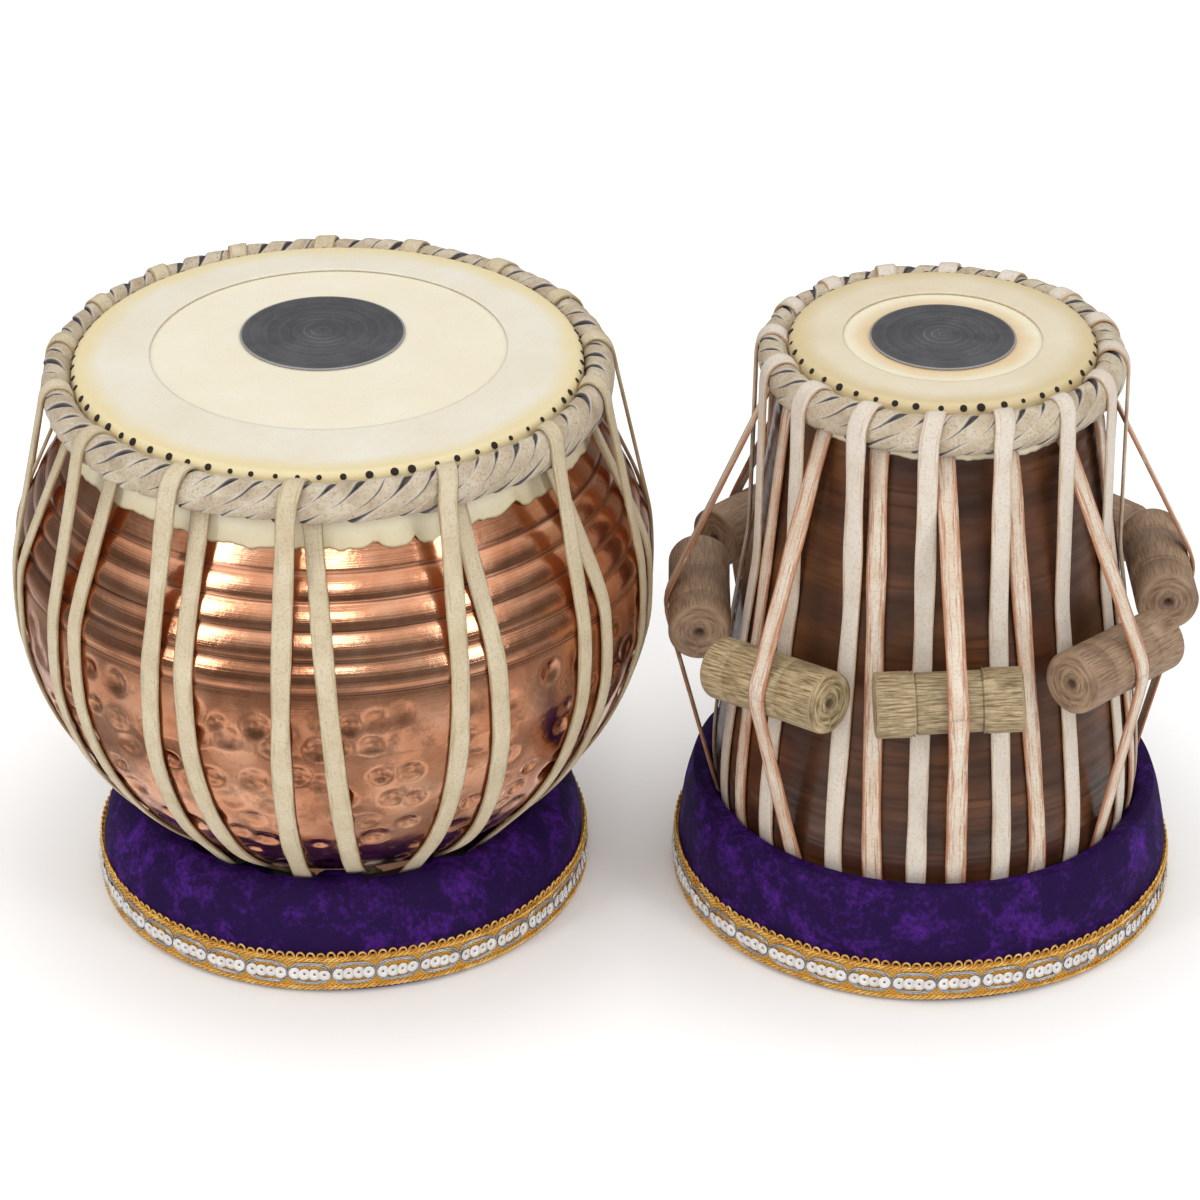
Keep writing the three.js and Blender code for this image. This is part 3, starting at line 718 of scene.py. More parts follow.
for piece in (treble_head, treble_ring):
    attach(piece, "dayan")
for lining, finish in (("bayan_lining_ring", bass_skin), ("dayan_lining_ring", treble_skin)):
    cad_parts[lining].data.materials.clear()
    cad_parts[lining].data.materials.append(finish)

# ---------------------------------------------------------------------------------------------
# Syahi: the tuning paste of soot, iron dust and starch, rubbed on in many thin burnished layers.
# Its rings are the edges of those layers. It sits off centre on the bass head.
# ---------------------------------------------------------------------------------------------

paste, tree, paste_shader = material("tuning_paste", Roughness=0.55)
away = plan_distance(tree)
patches, grains = use_group(tree, blotches, Vector=where(tree), Patch=60.0, Grain=1200.0)
base = ramp(tree, patches, (0.2, (0.040, 0.040, 0.044)), (0.8, (0.062, 0.062, 0.068)))
outwards = node(tree, "ShaderNodeCombineXYZ", {"X": away}).outputs[0]
rubbed = node(tree, "ShaderNodeTexNoise", {"Vector": outwards, "Scale": 420.0, "Detail": 2.0})
base = mixed(tree, remap(tree, rubbed.outputs["Fac"], 0.45, 0.7, 0.0, 0.5), base, (0.10, 0.10, 0.108))
base = mixed(tree, remap(tree, grains, 0.8, 1.0, 0.0, 0.5), base, (0.14, 0.14, 0.15))
circles = maths(tree, "ABSOLUTE", maths(tree, "SINE", maths(tree, "MULTIPLY", away, 900.0)))
circles = maths(tree, "MULTIPLY", remap(tree, circles, 0.9, 1.0), remap(tree, patches, 0.2, 0.9))
circles = maths(tree, "MULTIPLY", circles, remap(tree, away, 0.026, 0.010, 0.15, 0.75))
base = mixed(tree, circles, base, (0.17, 0.17, 0.18))
rim = node(tree, "ShaderNodeAttribute", attribute_name="rim").outputs["Fac"]
base = mixed(tree, remap(tree, rim, 0.972, 0.984, 0.0, 0.75), base, (0.42, 0.42, 0.43))
tree.links.new(base, paste_shader.inputs["Base Color"])
tree.links.new(remap(tree, rubbed.outputs["Fac"], 0.3, 0.7, 0.42, 0.62), paste_shader.inputs["Roughness"])
relief = maths(tree, "ADD", rubbed.outputs["Fac"], maths(tree, "MULTIPLY", grains, 0.6))
relief_of(tree, paste_shader, relief, 0.5, 0.0003)


def tuning_paste(name, node_name, body, layers):
    """A low dome of stepped layers, thickest in the middle."""
    low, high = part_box(node_name)
    centre = ((low.x + high.x) / 2, (low.y + high.y) / 2)
    edge = (high.x - low.x) / 2
    rise = high.z - low.z
    line = [
        (0.0, low.z), (edge - 0.0002, low.z),
        (edge, low.z + rise * 0.3), (edge * 0.975, low.z + rise * 0.42),
    ]
    for k in range(1, layers):
        outer = edge * (1 - 0.86 * (k / layers) ** 0.9)
        top = low.z + rise * (0.45 + 0.55 * (k + 1) / layers)
        line += [(outer, top - rise * 0.5 / layers), (outer - 0.0005, top)]
    made = turned(name, line + [(0.0, high.z)], centre, paste, steps=120)
    plan_coordinates(made, centre)
    share = polar(points_of(made), centre)[0] / edge
    write_values(made, "rim", share)
    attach(made, body)
    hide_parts(node_name)


tuning_paste("bass_tuning_paste", "bayan_syahi", "bayan", 11)
tuning_paste("treble_tuning_paste", "dayan_syahi", "dayan", 9)

# ---------------------------------------------------------------------------------------------
# Gajra: the braid round each head. Flat thongs are laced one after another through holes in the
# skins and wound slanting round a core, so each one rises from under the braid to its own hole.
# ---------------------------------------------------------------------------------------------


def strip(path, sideways, widths, thicknesses, roundness=0.8, closed=False, sides=12):
    """Corner points, faces, and place across and along, of a flat thong swept along a path."""
    path = np.asarray(path, float)
    if closed:
        along = np.roll(path, -1, 0) - np.roll(path, 1, 0)
    else:
        along = np.gradient(path, axis=0)
    along /= np.linalg.norm(along, axis=1)[:, None]
    face = np.cross(along, sideways)
    face /= np.linalg.norm(face, axis=1)[:, None]
    across = np.cross(face, along)
    section = []
    for k in range(sides):
        a = 2 * math.pi * (k + 0.5) / sides
        c, s = math.cos(a), math.sin(a)
        section.append((
            0.5 * math.copysign(abs(c) ** (1 - roundness * 0.55), c),
            0.5 * math.copysign(abs(s) ** (1 - roundness * 0.35), s),
        ))
    count = len(path)
    widths = np.broadcast_to(widths, count)
    thicknesses = np.broadcast_to(thicknesses, count)
    travelled = np.concatenate([[0], np.cumsum(np.linalg.norm(np.diff(path, axis=0), axis=1))])
    points, where_across, where_along = [], [], []
    for i in range(count):
        for w, t in section:
            points.append(path[i] + across[i] * w * widths[i] + face[i] * t * thicknesses[i])
            where_across.append(2 * w)
            where_along.append(travelled[i])
    faces = []
    for i in range(count if closed else count - 1):
        n = (i + 1) % count
        for k in range(sides):
            m = (k + 1) % sides
            faces.append([i * sides + k, i * sides + m, n * sides + m, n * sides + k])
    if not closed:
        faces.append(list(range(sides))[::-1])
        faces.append([(count - 1) * sides + k for k in range(sides)])
    return points, faces, where_across, where_along


def strips(name, parts, finish):
    """One mesh from several strips, with their places across and along kept for the finish."""
    points, faces, across, along, seed = [], [], [], [], []
    for number, (p, f, w, l) in enumerate(parts):
        shift = len(points)
        points += p
        faces += [[shift + k for k in face] for face in f]
        across += w
        along += l
        seed += [(number * 0.618) % 1.0] * len(p)
    made = solid(name, points, faces, finish)
    for label, values in (("across", across), ("along", along), ("seed", seed)):
        write_values(made, label, values)
    return made


def read(tree, label):
    return node(tree, "ShaderNodeAttribute", attribute_name=label).outputs["Fac"]


def oval(radius, height, half_width, half_height, start, end, steps):
    """Points (radius, height) on an oval, in degrees: 0 outermost, 90 on top."""
    turns = [math.radians(start + (end - start) * k / steps) for k in range(steps + 1)]
    return [(radius + half_width * math.cos(a), height + half_height * math.sin(a)) for a in turns]


braid_hide, tree, braid_shader = material("braid_hide", Roughness=0.75)
place = where(tree)
patches, grains = use_group(tree, blotches, Vector=place, Patch=70.0, Grain=900.0)
edge = maths(tree, "ABSOLUTE", read(tree, "across"))
base = ramp(tree, patches, (0.1, (0.37, 0.28, 0.19)), (0.5, (0.50, 0.40, 0.29)), (0.9, (0.61, 0.53, 0.42)))
own = read(tree, "seed")
base = mixed(tree, maths(tree, "MULTIPLY", own, 0.35), base, (0.62, 0.55, 0.40))
base = mixed(tree, remap(tree, grains, 0.55, 1.0, 0.0, 0.55), base, (0.24, 0.17, 0.10))
base = mixed(tree, remap(tree, edge, 0.62, 0.8, 0.0, 0.5), base, (0.62, 0.57, 0.47))
base = mixed(tree, remap(tree, edge, 0.82, 0.97, 0.0, 0.95), base, (0.055, 0.05, 0.065))
tree.links.new(base, braid_shader.inputs["Base Color"])
relief = maths(tree, "ADD", grains, maths(tree, "MULTIPLY", patches, 1.5))
relief_of(tree, braid_shader, relief, 0.5, 0.0005)

# Painted shade: the braid cores and base rings are hide coloured very dark, for the shade they lie in under
# the thongs and straps.
shaded_core_hide, tree, core_shader = material("shaded_braid_core_hide", Roughness=0.9)
core_shader.inputs["Base Color"].default_value = (0.10, 0.075, 0.06, 1.0)
# Painted shade: a near-black finish for the small plugs set in the lace holes, in place of the shade inside
# them.
painted_hole_shade, tree, hole_shader = material("painted_hole_shade", Roughness=0.9)
hole_shader.inputs["Base Color"].default_value = (0.018, 0.010, 0.007, 1.0)

THONG_PITCH = 0.0110
THONG_ADVANCE = 0.030        # round the drum, from under the braid to the top of it
THONG_THICKNESS = 0.0034
THONG_WIDTH = 0.0076
THONG_START, THONG_TURN = -165, 350   # degrees round the core
HOLE_CORNERS = 10


def braid(drum, axis, radius, height, half_width, half_height, hole_radius, hole_height, body):
    """The wound thongs, the core they hide, and small near-black plugs painted as the shade in the holes they
    come out of.
    """
    count = round(2 * math.pi * radius / THONG_PITCH)
    parts, holes = [], []
    core = half_width - 0.0016, half_height - 0.0016
    middle = half_width - THONG_THICKNESS / 2, half_height - THONG_THICKNESS / 2
    for n in range(count):
        start = 2 * math.pi * (n + random.uniform(-0.13, 0.13)) / count
        bulge = random.uniform(-0.0004, 0.0005)
        path, sideways, widths = [], [], []
        steps = 26
        for k in range(steps + 1):
            turn = math.radians(THONG_START + THONG_TURN * k / steps)
            angle = start + THONG_ADVANCE / radius * (turn / math.pi + 0.10 * math.sin(2 * turn))
            r = radius + (middle[0] + bulge) * math.cos(turn)
            z = height + (middle[1] + bulge) * math.sin(turn)
            path.append(ring_point(axis, r, z, angle))
            widths.append(THONG_WIDTH + 0.0004 * math.sin(turn))
            outward = np.array([math.sin(angle), -math.cos(angle), 0.0])
            around = np.array([math.cos(angle), math.sin(angle), 0.0])
            slope = -math.sin(turn) * outward + math.cos(turn) * np.array([0, 0, 1.0])
            sideways.append(around * 0.75 - slope * 0.66)
        parts.append(strip(path, np.array(sideways), np.array(widths), THONG_THICKNESS))
        holes.append((start + THONG_ADVANCE / radius * 0.86, random.uniform(0.0011, 0.0020)))
    made = strips(drum + "_braid", parts, braid_hide)
    core_line = oval(radius, height, *core, 0, 345, 23)
    core_piece = turned(drum + "_braid_core", core_line, axis, shaded_core_hide, steps=120)
    points, faces = [], []
    for angle, size in holes:
        centre = Vector(ring_point(axis, hole_radius, hole_height - 0.0001, angle))
        outward = Vector((math.sin(angle), -math.cos(angle), 0))
        facing = (outward * 0.75 + Vector((0, 0, 0.66))).normalized()
        across = Vector((math.cos(angle), math.sin(angle), 0))
        along = facing.cross(across)
        first = len(points)
        for level, share in ((-0.3, 0.7), (0.12, 1.0), (0.24, 0.8)):
            for k in range(HOLE_CORNERS):
                a = 2 * math.pi * k / HOLE_CORNERS
                ray = across * math.cos(a) + along * math.sin(a)
                points.append(centre + ray * size * share + facing * size * level)
        for lower in (first, first + HOLE_CORNERS):
            upper = lower + HOLE_CORNERS
            for k in range(HOLE_CORNERS):
                m = (k + 1) % HOLE_CORNERS
                faces.append([lower + k, lower + m, upper + m, upper + k])
        faces.append([first + k for k in range(HOLE_CORNERS)][::-1])
        faces.append([first + 2 * HOLE_CORNERS + k for k in range(HOLE_CORNERS)])
    dark = solid(drum + "_lace_holes", points, faces, painted_hole_shade)
    for piece in (made, core_piece, dark):
        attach(piece, body)
        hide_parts(body + "_gajra")


random.seed(5)
BASS_BRAID = (0.1250, 0.2654, 0.0066, 0.0096)
TREBLE_BRAID = (0.0772, 0.2768, 0.0068, 0.0095)
braid("bass", BASS_AXIS, *BASS_BRAID, 0.1171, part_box("bayan_top_ring")[1].z - 0.0016, "bayan")
braid("treble", TREBLE_AXIS, *TREBLE_BRAID, 0.0696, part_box("dayan_top_ring")[1].z - 0.0015, "dayan")

# ---------------------------------------------------------------------------------------------
# The lacing: one long strap on each drum. It runs up from the base ring, over the braid, down
# behind it along the wall and round the base ring again, sixteen times, always pulled taut.
# ---------------------------------------------------------------------------------------------


def taut(points):
    """The outer hull of (radius, height) points, from the highest down: a strap pulled tight."""
    hull = []
    for p in sorted(points, key=lambda q: (-q[1], -q[0])):
        while len(hull) > 1:
            a, b = hull[-2], hull[-1]
            if (b[0] - a[0]) * (p[1] - a[1]) - (b[1] - a[1]) * (p[0] - a[0]) < 0:
                break
            hull.pop()
        hull.append(p)
    return hull


def evenly(path, gap):
    """A path of (radius, height) points cut into equal lengths of about a gap."""
    path = np.asarray(path, float)
    travelled = np.concatenate([[0], np.cumsum(np.linalg.norm(np.diff(path, axis=0), axis=1))])
    steps = max(2, round(travelled[-1] / gap))
    wanted = np.linspace(0, travelled[-1], steps + 1)
    return np.stack([np.interp(wanted, travelled, path[:, k]) for k in (0, 1)], 1)


def turning(path, start, end):
    """Adds the angle to a path: it turns from one angle to another by the shortest way."""
    steps = np.linalg.norm(np.diff(path, axis=0), axis=1) / ((path[1:, 0] + path[:-1, 0]) / 2) ** 2
    share = np.concatenate([[0], np.cumsum(steps)])
    share /= share[-1]
    return np.column_stack([path, start + (end - start) * share])


def softened(stations, times=2):
    """Rounds the corners of a run of stations, keeping its two ends."""
    for _ in range(times):
        stations[1:-1] = (stations[:-2] + 2 * stations[1:-1] + stations[2:]) / 4
    return stations


STRAP_WIDTH = 0.0092
STRAP_THICKNESS = 0.0018
STRAP_GAP = 0.0004           # between a strap and what it lies on
LOOPS = 16                   # turns of the strap on each drum
LOOP_STEP = 360 / LOOPS      # degrees from one loop to the next on the treble drum
TREBLE_FIRST_LOOP = -8
BASE_RING_HALF = 0.005       # half the width of a base ring


def strap_piece(stations, axis):
    """A strap through (radius, height, angle in degrees) stations, its width a little uneven."""
    angles = np.radians(stations[:, 2])
    path = np.stack([
        axis[0] + stations[:, 0] * np.sin(angles), axis[1] - stations[:, 0] * np.cos(angles), stations[:, 1],
    ], 1)
    sideways = np.stack([np.cos(angles), np.sin(angles), np.zeros(len(angles))], 1)
    uneven = smooth_noise(path, 0.03, 2) * 0.0011
    return strip(path, sideways, STRAP_WIDTH + uneven, STRAP_THICKNESS, roundness=1.0)


def strap_finish(name, pale, tan, edge_color, edge_width, streak_color, streak_share):
    """Raw hide strap: fibrous face, darker cut edges, and streaks where the red grain shows."""
    made, tree, shader = material(name, Roughness=0.7)
    place = where(tree)
    patches, grains = use_group(tree, blotches, Vector=place, Patch=55.0, Grain=1100.0)
    edge = maths(tree, "ABSOLUTE", read(tree, "across"))
    base = mixed(tree, patches, pale, tan)
    fibre_place = node(tree, "ShaderNodeCombineXYZ", {
        "X": maths(tree, "MULTIPLY", read(tree, "across"), 5.0),
        "Y": maths(tree, "MULTIPLY", read(tree, "along"), 45.0),
        "Z": maths(tree, "MULTIPLY", read(tree, "seed"), 50.0),
    }).outputs[0]
    fibres = node(tree, "ShaderNodeTexNoise", {
        "Vector": fibre_place, "Scale": 1.0, "Detail": 6.0, "Roughness": 0.7,
    }).outputs["Fac"]
    speckle = node(tree, "ShaderNodeTexNoise", {
        "Vector": place, "Scale": 900.0, "Detail": 2.0,
    }).outputs["Fac"]
    base = mixed(tree, remap(tree, speckle, 0.52, 0.66, 0.0, 0.3), base, edge_color)
    streaks = maths(tree, "ADD", fibres, maths(tree, "MULTIPLY", edge, 0.22))
    fewest, most = 0.66 - 0.2 * streak_share, 0.80 - 0.2 * streak_share
    base = mixed(tree, remap(tree, streaks, fewest, most, 0.0, 0.85), base, streak_color)
    frayed = remap(tree, fibres, 0.3, 0.62, 0.25, 1.0)
    worn_edge = maths(tree, "MULTIPLY", remap(tree, edge, 1.0 - edge_width, 1.0), frayed)
    base = mixed(tree, worn_edge, base, edge_color)
    tree.links.new(base, shader.inputs["Base Color"])
    relief = maths(tree, "ADD", speckle, maths(tree, "MULTIPLY", fibres, 1.5))
    relief_of(tree, shader, relief, 0.5, 0.0004)
    return made


bass_strap = strap_finish(
    "bass_strap_hide", (0.67, 0.58, 0.42), (0.56, 0.46, 0.30), (0.30, 0.20, 0.10), 0.16,
    (0.40, 0.31, 0.17), 0.1,
)
outer_strap = strap_finish(
    "pale_strap_hide", (0.72, 0.66, 0.58), (0.65, 0.57, 0.48), (0.44, 0.28, 0.16), 0.15,
    (0.52, 0.34, 0.20), 0.0,
)
inner_strap = strap_finish(
    "red_strap_hide", (0.76, 0.69, 0.58), (0.64, 0.51, 0.38), (0.40, 0.16, 0.07), 0.22,
    (0.42, 0.15, 0.06), 0.45,
)


def legs(wall, ring_node, braid_section, skirt_bottom, contact):
    """The shapes, seen from the side, of the strap's four stretches on a drum."""
    centre, middle, half_width, half_height = braid_section
    away = STRAP_GAP + STRAP_THICKNESS / 2
    low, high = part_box(ring_node)
    ring_height = (low.z + high.z) / 2
    ring_half_height = (high.z - low.z) / 2 + away
    ring_outer = (high.x - low.x) / 2
    ring_half_width = BASE_RING_HALF + away
    ring_centre = ring_outer - BASE_RING_HALF
    beside = []
    for i in range(1, len(wall) - 1):
        before, after = wall[i - 1], wall[i + 1]
        along = Vector((after[0] - before[0], after[1] - before[1])).normalized()
        skins = 0.0014 if wall[i][1] > skirt_bottom - 0.004 else 0.0
        beside.append((wall[i][0] + along.y * away + skins, wall[i][1] - along.x * away))
    over = oval(centre, middle, half_width + away, half_height + away, 0, 232, 20)
    over = [(max(r, centre - half_width + 0.0004), z) for r, z in over]
    ring_outside = oval(ring_centre, ring_height, ring_half_width, ring_half_height, 0, -90, 6)
    ring_inside = oval(ring_centre, ring_height, ring_half_width, ring_half_height, 90, 270, 10)
    top = [over[0]]
    if contact:
        outer = top + taut([p for p in beside if p[1] < contact] + ring_outside)
    else:
        outer = taut(top + [p for p in beside if p[1] < middle] + ring_outside)
    return outer, over, [p for p in beside if p[1] < over[-1][1]], ring_inside


def loop_stations(shapes, start, crossing, next_outer, next_inner, outer_end, block):
    """The stations of one loop: up the outer leg, over, down the inner leg, under the base ring."""
    outer, over, beside, ring_inside = shapes
    up = turning(evenly(outer[::-1], 0.004), start + outer_end, start)
    across = turning(evenly(over, 0.0022), start, start + crossing)
    inner = taut([over[-1], *beside, ring_inside[0], *block])
    down = turning(evenly(inner, 0.004), start + crossing, next_inner)
    under = turning(evenly(ring_inside, 0.0022), next_inner, next_outer)
    return up, across, down, under


bass_shapes = legs(outside, "bayan_base_ring", BASS_BRAID, skirt_bottom=0.239, contact=None)
bass_loops = [-5, 26, 53, 76, 97, 119, 140, 162, 182, 202, 222, 241, 261, 283, 306, 331]
# degrees: how far the strap shifts over the braid, and where its two legs reach the base ring
CROSSING, OUTER_END, INNER_END = 4.4, -4.8, -13.5
route = []
for i, start in enumerate(bass_loops):
    following = bass_loops[(i + 1) % LOOPS] + (360 if i == LOOPS - 1 else 0)
    pieces = loop_stations(
        bass_shapes, start, CROSSING, following + OUTER_END, following + INNER_END, OUTER_END, [],
    )
    route += [stretch[:-1] for stretch in pieces]
stations = np.concatenate(route + [route[0][:1] + np.array([0, 0, 360.0])])
bass_lacing = strips("bass_lacing", [strap_piece(softened(stations), BASS_AXIS)], bass_strap)
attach(bass_lacing, "bayan")
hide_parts("bayan_lacing")

# the treble drum: every other inner leg runs out over a tuning block, and is cut there into a piece above it
# and a piece below it
BLOCK_RADIUS = 0.0152
BLOCK_LENGTH = 0.067
BLOCKS = (
    (0.0, 0.155, -2.8), (47.0, 0.156, 4.2), (90.0, 0.163, 1.0), (135.0, 0.152, 0.0),
    (180.0, 0.155, -1.5), (225.0, 0.150, 1.0), (269.0, 0.147, 1.0), (315.5, 0.146, -7.0),
)


def wall_radius(height):
    heights = [z for r, z in body_line[1:]]
    return float(np.interp(height, heights, [r for r, z in body_line[1:]]))


def block_seat(height):
    """The middle of a block, and the slope of the wall that it rests against."""
    slope = math.atan((wall_radius(height - 0.03) - wall_radius(height + 0.03)) / 0.06)
    lift = 0.0034 + BLOCK_RADIUS
    return wall_radius(height) + lift * math.cos(slope), height + lift * math.sin(slope), slope


treble_shapes = legs(body_line, "dayan_base_ring", TREBLE_BRAID, skirt_bottom=0.262, contact=0.186)
CROSSING, OUTER_END, INNER_END = 5.0, 3.0, -6.5
outer_parts, inner_parts = [], []
for i in range(LOOPS):
    start = TREBLE_FIRST_LOOP + LOOP_STEP * i
    following = start + LOOP_STEP
    block = []
    if i % 2 == 0:
        seat_radius, seat_height, slope = block_seat(BLOCKS[i // 2][1])
        reach = BLOCK_RADIUS + STRAP_GAP + STRAP_THICKNESS / 2
        block = oval(seat_radius, seat_height, reach, reach, 75, -75, 14)
    up, across, down, under = loop_stations(
        treble_shapes, start, CROSSING, following + OUTER_END, following + INNER_END, OUTER_END, block,
    )
    outer_run = softened(np.concatenate([up[:-1], across]))
    outer_parts.append(strap_piece(outer_run, TREBLE_AXIS))
    run = softened(np.concatenate([down[:-1], under]))
    if not block:
        inner_parts.append(strap_piece(run, TREBLE_AXIS))
        continue
    middle = int(np.argmin(np.abs(run[:len(down), 1] - seat_height)))
    body = f"gatta_{i // 2 + 1}"
    upper_part = strap_piece(run[:middle + 1], TREBLE_AXIS)
    lower_part = strap_piece(run[middle:], TREBLE_AXIS)
    upper = strips(f"strap_above_{body}", [upper_part], inner_strap)
    lower = strips(f"strap_below_{body}", [lower_part], inner_strap)

    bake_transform(upper)
    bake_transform(lower)
    for piece in (upper, lower):
        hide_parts("dayan_lacing")
for name, parts, finish in (
    ("treble_outer_lacing", outer_parts, outer_strap), ("treble_inner_lacing", inner_parts, inner_strap),
):
    made = strips(name, parts, finish)
    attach(made, "dayan")
    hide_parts("dayan_lacing")

for drum, axis in (("bayan", BASS_AXIS), ("dayan", TREBLE_AXIS)):
    low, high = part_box(drum + "_base_ring")
    outer = (high.x - low.x) / 2
    section = oval(
        outer - BASE_RING_HALF, (low.z + high.z) / 2, BASE_RING_HALF, (high.z - low.z) / 2, 0, 345, 23,
    )
    # the base ring takes the braid core's dark hide, coloured as painted shade
    ring = turned(drum + "_base_ring_hide", section, axis, shaded_core_hide, steps=120)
    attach(ring, drum)
    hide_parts(drum + "_base_ring")

# ---------------------------------------------------------------------------------------------
# Gatta: eight turned wooden blocks under the lacing, tapped down to tighten the treble head. The
# two nearest the player are newer, of a greener wood; the others are brown and worn.
# ---------------------------------------------------------------------------------------------


def block_finish(name, dark, light, line_color):
    """Plain turned hardwood: long fibres down the length, rings and cracks on the ends."""
    made, tree, shader = material(name, Roughness=0.55)
    where_on = node(tree, "ShaderNodeUVMap", uv_map="grain").outputs["UV"]
    shift = node(tree, "ShaderNodeObjectInfo").outputs["Random"]
    long_way = node(tree, "ShaderNodeMapping", {"Vector": where_on, "Scale": (1050.0, 90.0, 1.0)})
    fibres = node(tree, "ShaderNodeTexNoise", {
        "Vector": long_way.outputs[0], "Scale": 1.0, "Detail": 6.0, "Roughness": 0.65,
    }).outputs["Fac"]
    place = where(tree)
    patches, grains = use_group(tree, blotches, Vector=place, Patch=60.0, Grain=800.0)
    base = mixed(tree, remap(tree, fibres, 0.40, 0.60), dark, light)
    base = mixed(tree, remap(tree, patches, 0.4, 1.0, 0.0, 0.4), base, line_color)
    pores = remap(tree, fibres, 0.40, 0.31, 0.0, 0.8)
    base = mixed(tree, pores, base, line_color)
    # painted shade: sunk places on the block are mixed towards the line colour
    base = mixed(tree, maths(tree, "MULTIPLY", read(tree, "sunk_shade"), 0.8), base, line_color)
    tree.links.new(base, shader.inputs["Base Color"])
    relief = maths(tree, "ADD", fibres, maths(tree, "MULTIPLY", grains, 0.3))
    relief_of(tree, shader, relief, 0.5, 0.0005)
    return made


green_wood = block_finish(
    "pale_block_wood", (0.20, 0.135, 0.058), (0.55, 0.43, 0.25), (0.08, 0.05, 0.022),
)
brown_wood = block_finish(
    "brown_block_wood", (0.24, 0.145, 0.085), (0.41, 0.275, 0.175), (0.09, 0.045, 0.025),
)


BLOCK_END_LEVEL = 0.0328      # beyond this from its middle, a block's grain is that of its end


def block_line(number):
    """Half the length profile of a block, as (radius, place along the axis)."""
    half = BLOCK_LENGTH / 2
    r = BLOCK_RADIUS - 0.0002
    line = [(0.0, -half + 0.003), (0.0011, -half + 0.0026), (0.0019, -half + 0.0002)]
    for k, ring in enumerate((0.0045, 0.0075, 0.0105)):
        line += [(ring, -half), (ring + 0.0003, -half + 0.0003), (ring + 0.0007, -half)]
    line += [(r - 0.0012, -half), (r - 0.0003, -half + 0.0004), (r, -half + 0.0013)]
    grooves = {
        1: (-0.0165, -0.0150, 0.0150, 0.0165), 2: (-0.018, -0.0065, 0.016),
        7: (-0.008, -0.005, 0.018), 8: (-0.020, 0.012),
    }
    for place in grooves.get(number, (-0.017, -0.014, 0.014, 0.017)):
        depth = 0.0005 if number != 1 else 0.0007
        line += [(r, place - 0.0006), (r - depth, place), (r, place + 0.0006)]
    line += [(p, -z) for p, z in line[14::-1]]
    return line


for number, (angle, height, tilt) in enumerate(BLOCKS, 1):
    seat_radius, seat_height, slope = block_seat(height)
    wood = green_wood if number in (1, 8) else brown_wood
    line = block_line(number)
    block = turned(f"block_{number}", line, (0.0, 0.0), wood, steps=56)
    points = points_of(block)
    radius, around, along = polar(points, (0.0, 0.0))
    lumps = smooth_noise(points * np.array([1, 1, 0.5]), 0.014, number) * 0.0003
    if number == 1:
        lumps += np.where(np.abs(along) < 0.0155, -0.0004, 0.0005)
        lumps -= np.abs(np.sin(around * 5 + np.sin(along * 60))) * 0.0003
    radius = np.where(radius > 0.010, radius + lumps - 0.0003, radius)
    # painted shade where the surface is sunk below its usual radius (the turned grooves and block 1's
    # narrowed middle), and full painted shade in the pits at the centres of the ends
    sunk_shade = np.clip((radius - 0.0142) * -900, 0, 1) * (np.abs(along) < 0.0325) * (radius > 0.0128)
    pit = (radius < 0.003) * 1.0
    ends = np.abs(along) > BLOCK_END_LEVEL
    u = np.where(ends, radius * 0.5, around * BLOCK_RADIUS)
    v = np.where(ends, around * 0.01, along)
    write_plan(block, "grain", np.stack([u, v], 1))
    write_values(block, "sunk_shade", np.maximum(sunk_shade, pit))
    a = math.radians(angle)
    outward = Vector((math.sin(a), -math.cos(a), 0))
    down = outward * math.sin(slope) - Vector((0, 0, math.cos(slope)))
    lean = math.radians(tilt)
    axis = (Vector((math.cos(a), math.sin(a), 0)) * math.cos(lean) + down * math.sin(lean)).normalized()
    face = (outward * math.cos(slope) + Vector((0, 0, math.sin(slope)))).normalized()
    third = axis.cross(face).normalized()
    face = third.cross(axis)
    centre = Vector(ring_point(TREBLE_AXIS, seat_radius, seat_height, a))
    x, y = radius * np.sin(around), -radius * np.cos(around)
    placed = np.array(centre) + np.outer(x, face) + np.outer(y, third) + np.outer(along, axis)
    block.data.vertices.foreach_set("co", placed.astype(np.float32).ravel())
    block.data.update()
    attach(block, f"gatta_{number}")
    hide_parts(f"gatta_{number}")

# ---------------------------------------------------------------------------------------------
# The ring cushions: stuffed rings covered in crushed purple velvet, pressed to the shape of the
# drum that stands in them, so the velvet bulges up between the straps and dips under each one.
# ---------------------------------------------------------------------------------------------

velvet, tree, velvet_shader = material("crushed_velvet", Roughness=0.7, Sheen_Weight=0.5, Sheen_Roughness=0.4)
velvet_shader.inputs["Specular IOR Level"].default_value = 0.15
velvet_shader.inputs["Sheen Tint"].default_value = (0.22, 0.05, 0.80, 1.0)
place = where(tree)
crush = node(tree, "ShaderNodeTexNoise", {
    "Vector": place, "Scale": 55.0, "Detail": 8.0, "Roughness": 0.72, "Distortion": 0.4,
}).outputs["Fac"]
nap = node(tree, "ShaderNodeTexNoise", {
    "Vector": place, "Scale": 420.0, "Detail": 4.0, "Roughness": 0.75,
}).outputs["Fac"]
shine = remap(tree, maths(tree, "ADD", crush, maths(tree, "MULTIPLY", nap, 0.5)), 0.74, 1.02)
base = mixed(tree, shine, (0.015, 0.0018, 0.050), (0.095, 0.014, 0.28))
tree.links.new(base, velvet_shader.inputs["Base Color"])
tree.links.new(remap(tree, shine, 0.0, 1.0, 0.05, 0.6), velvet_shader.inputs["Sheen Weight"])
relief = maths(tree, "ADD", crush, maths(tree, "MULTIPLY", nap, 0.5))
relief_of(tree, velvet_shader, relief, 0.6, 0.0015)


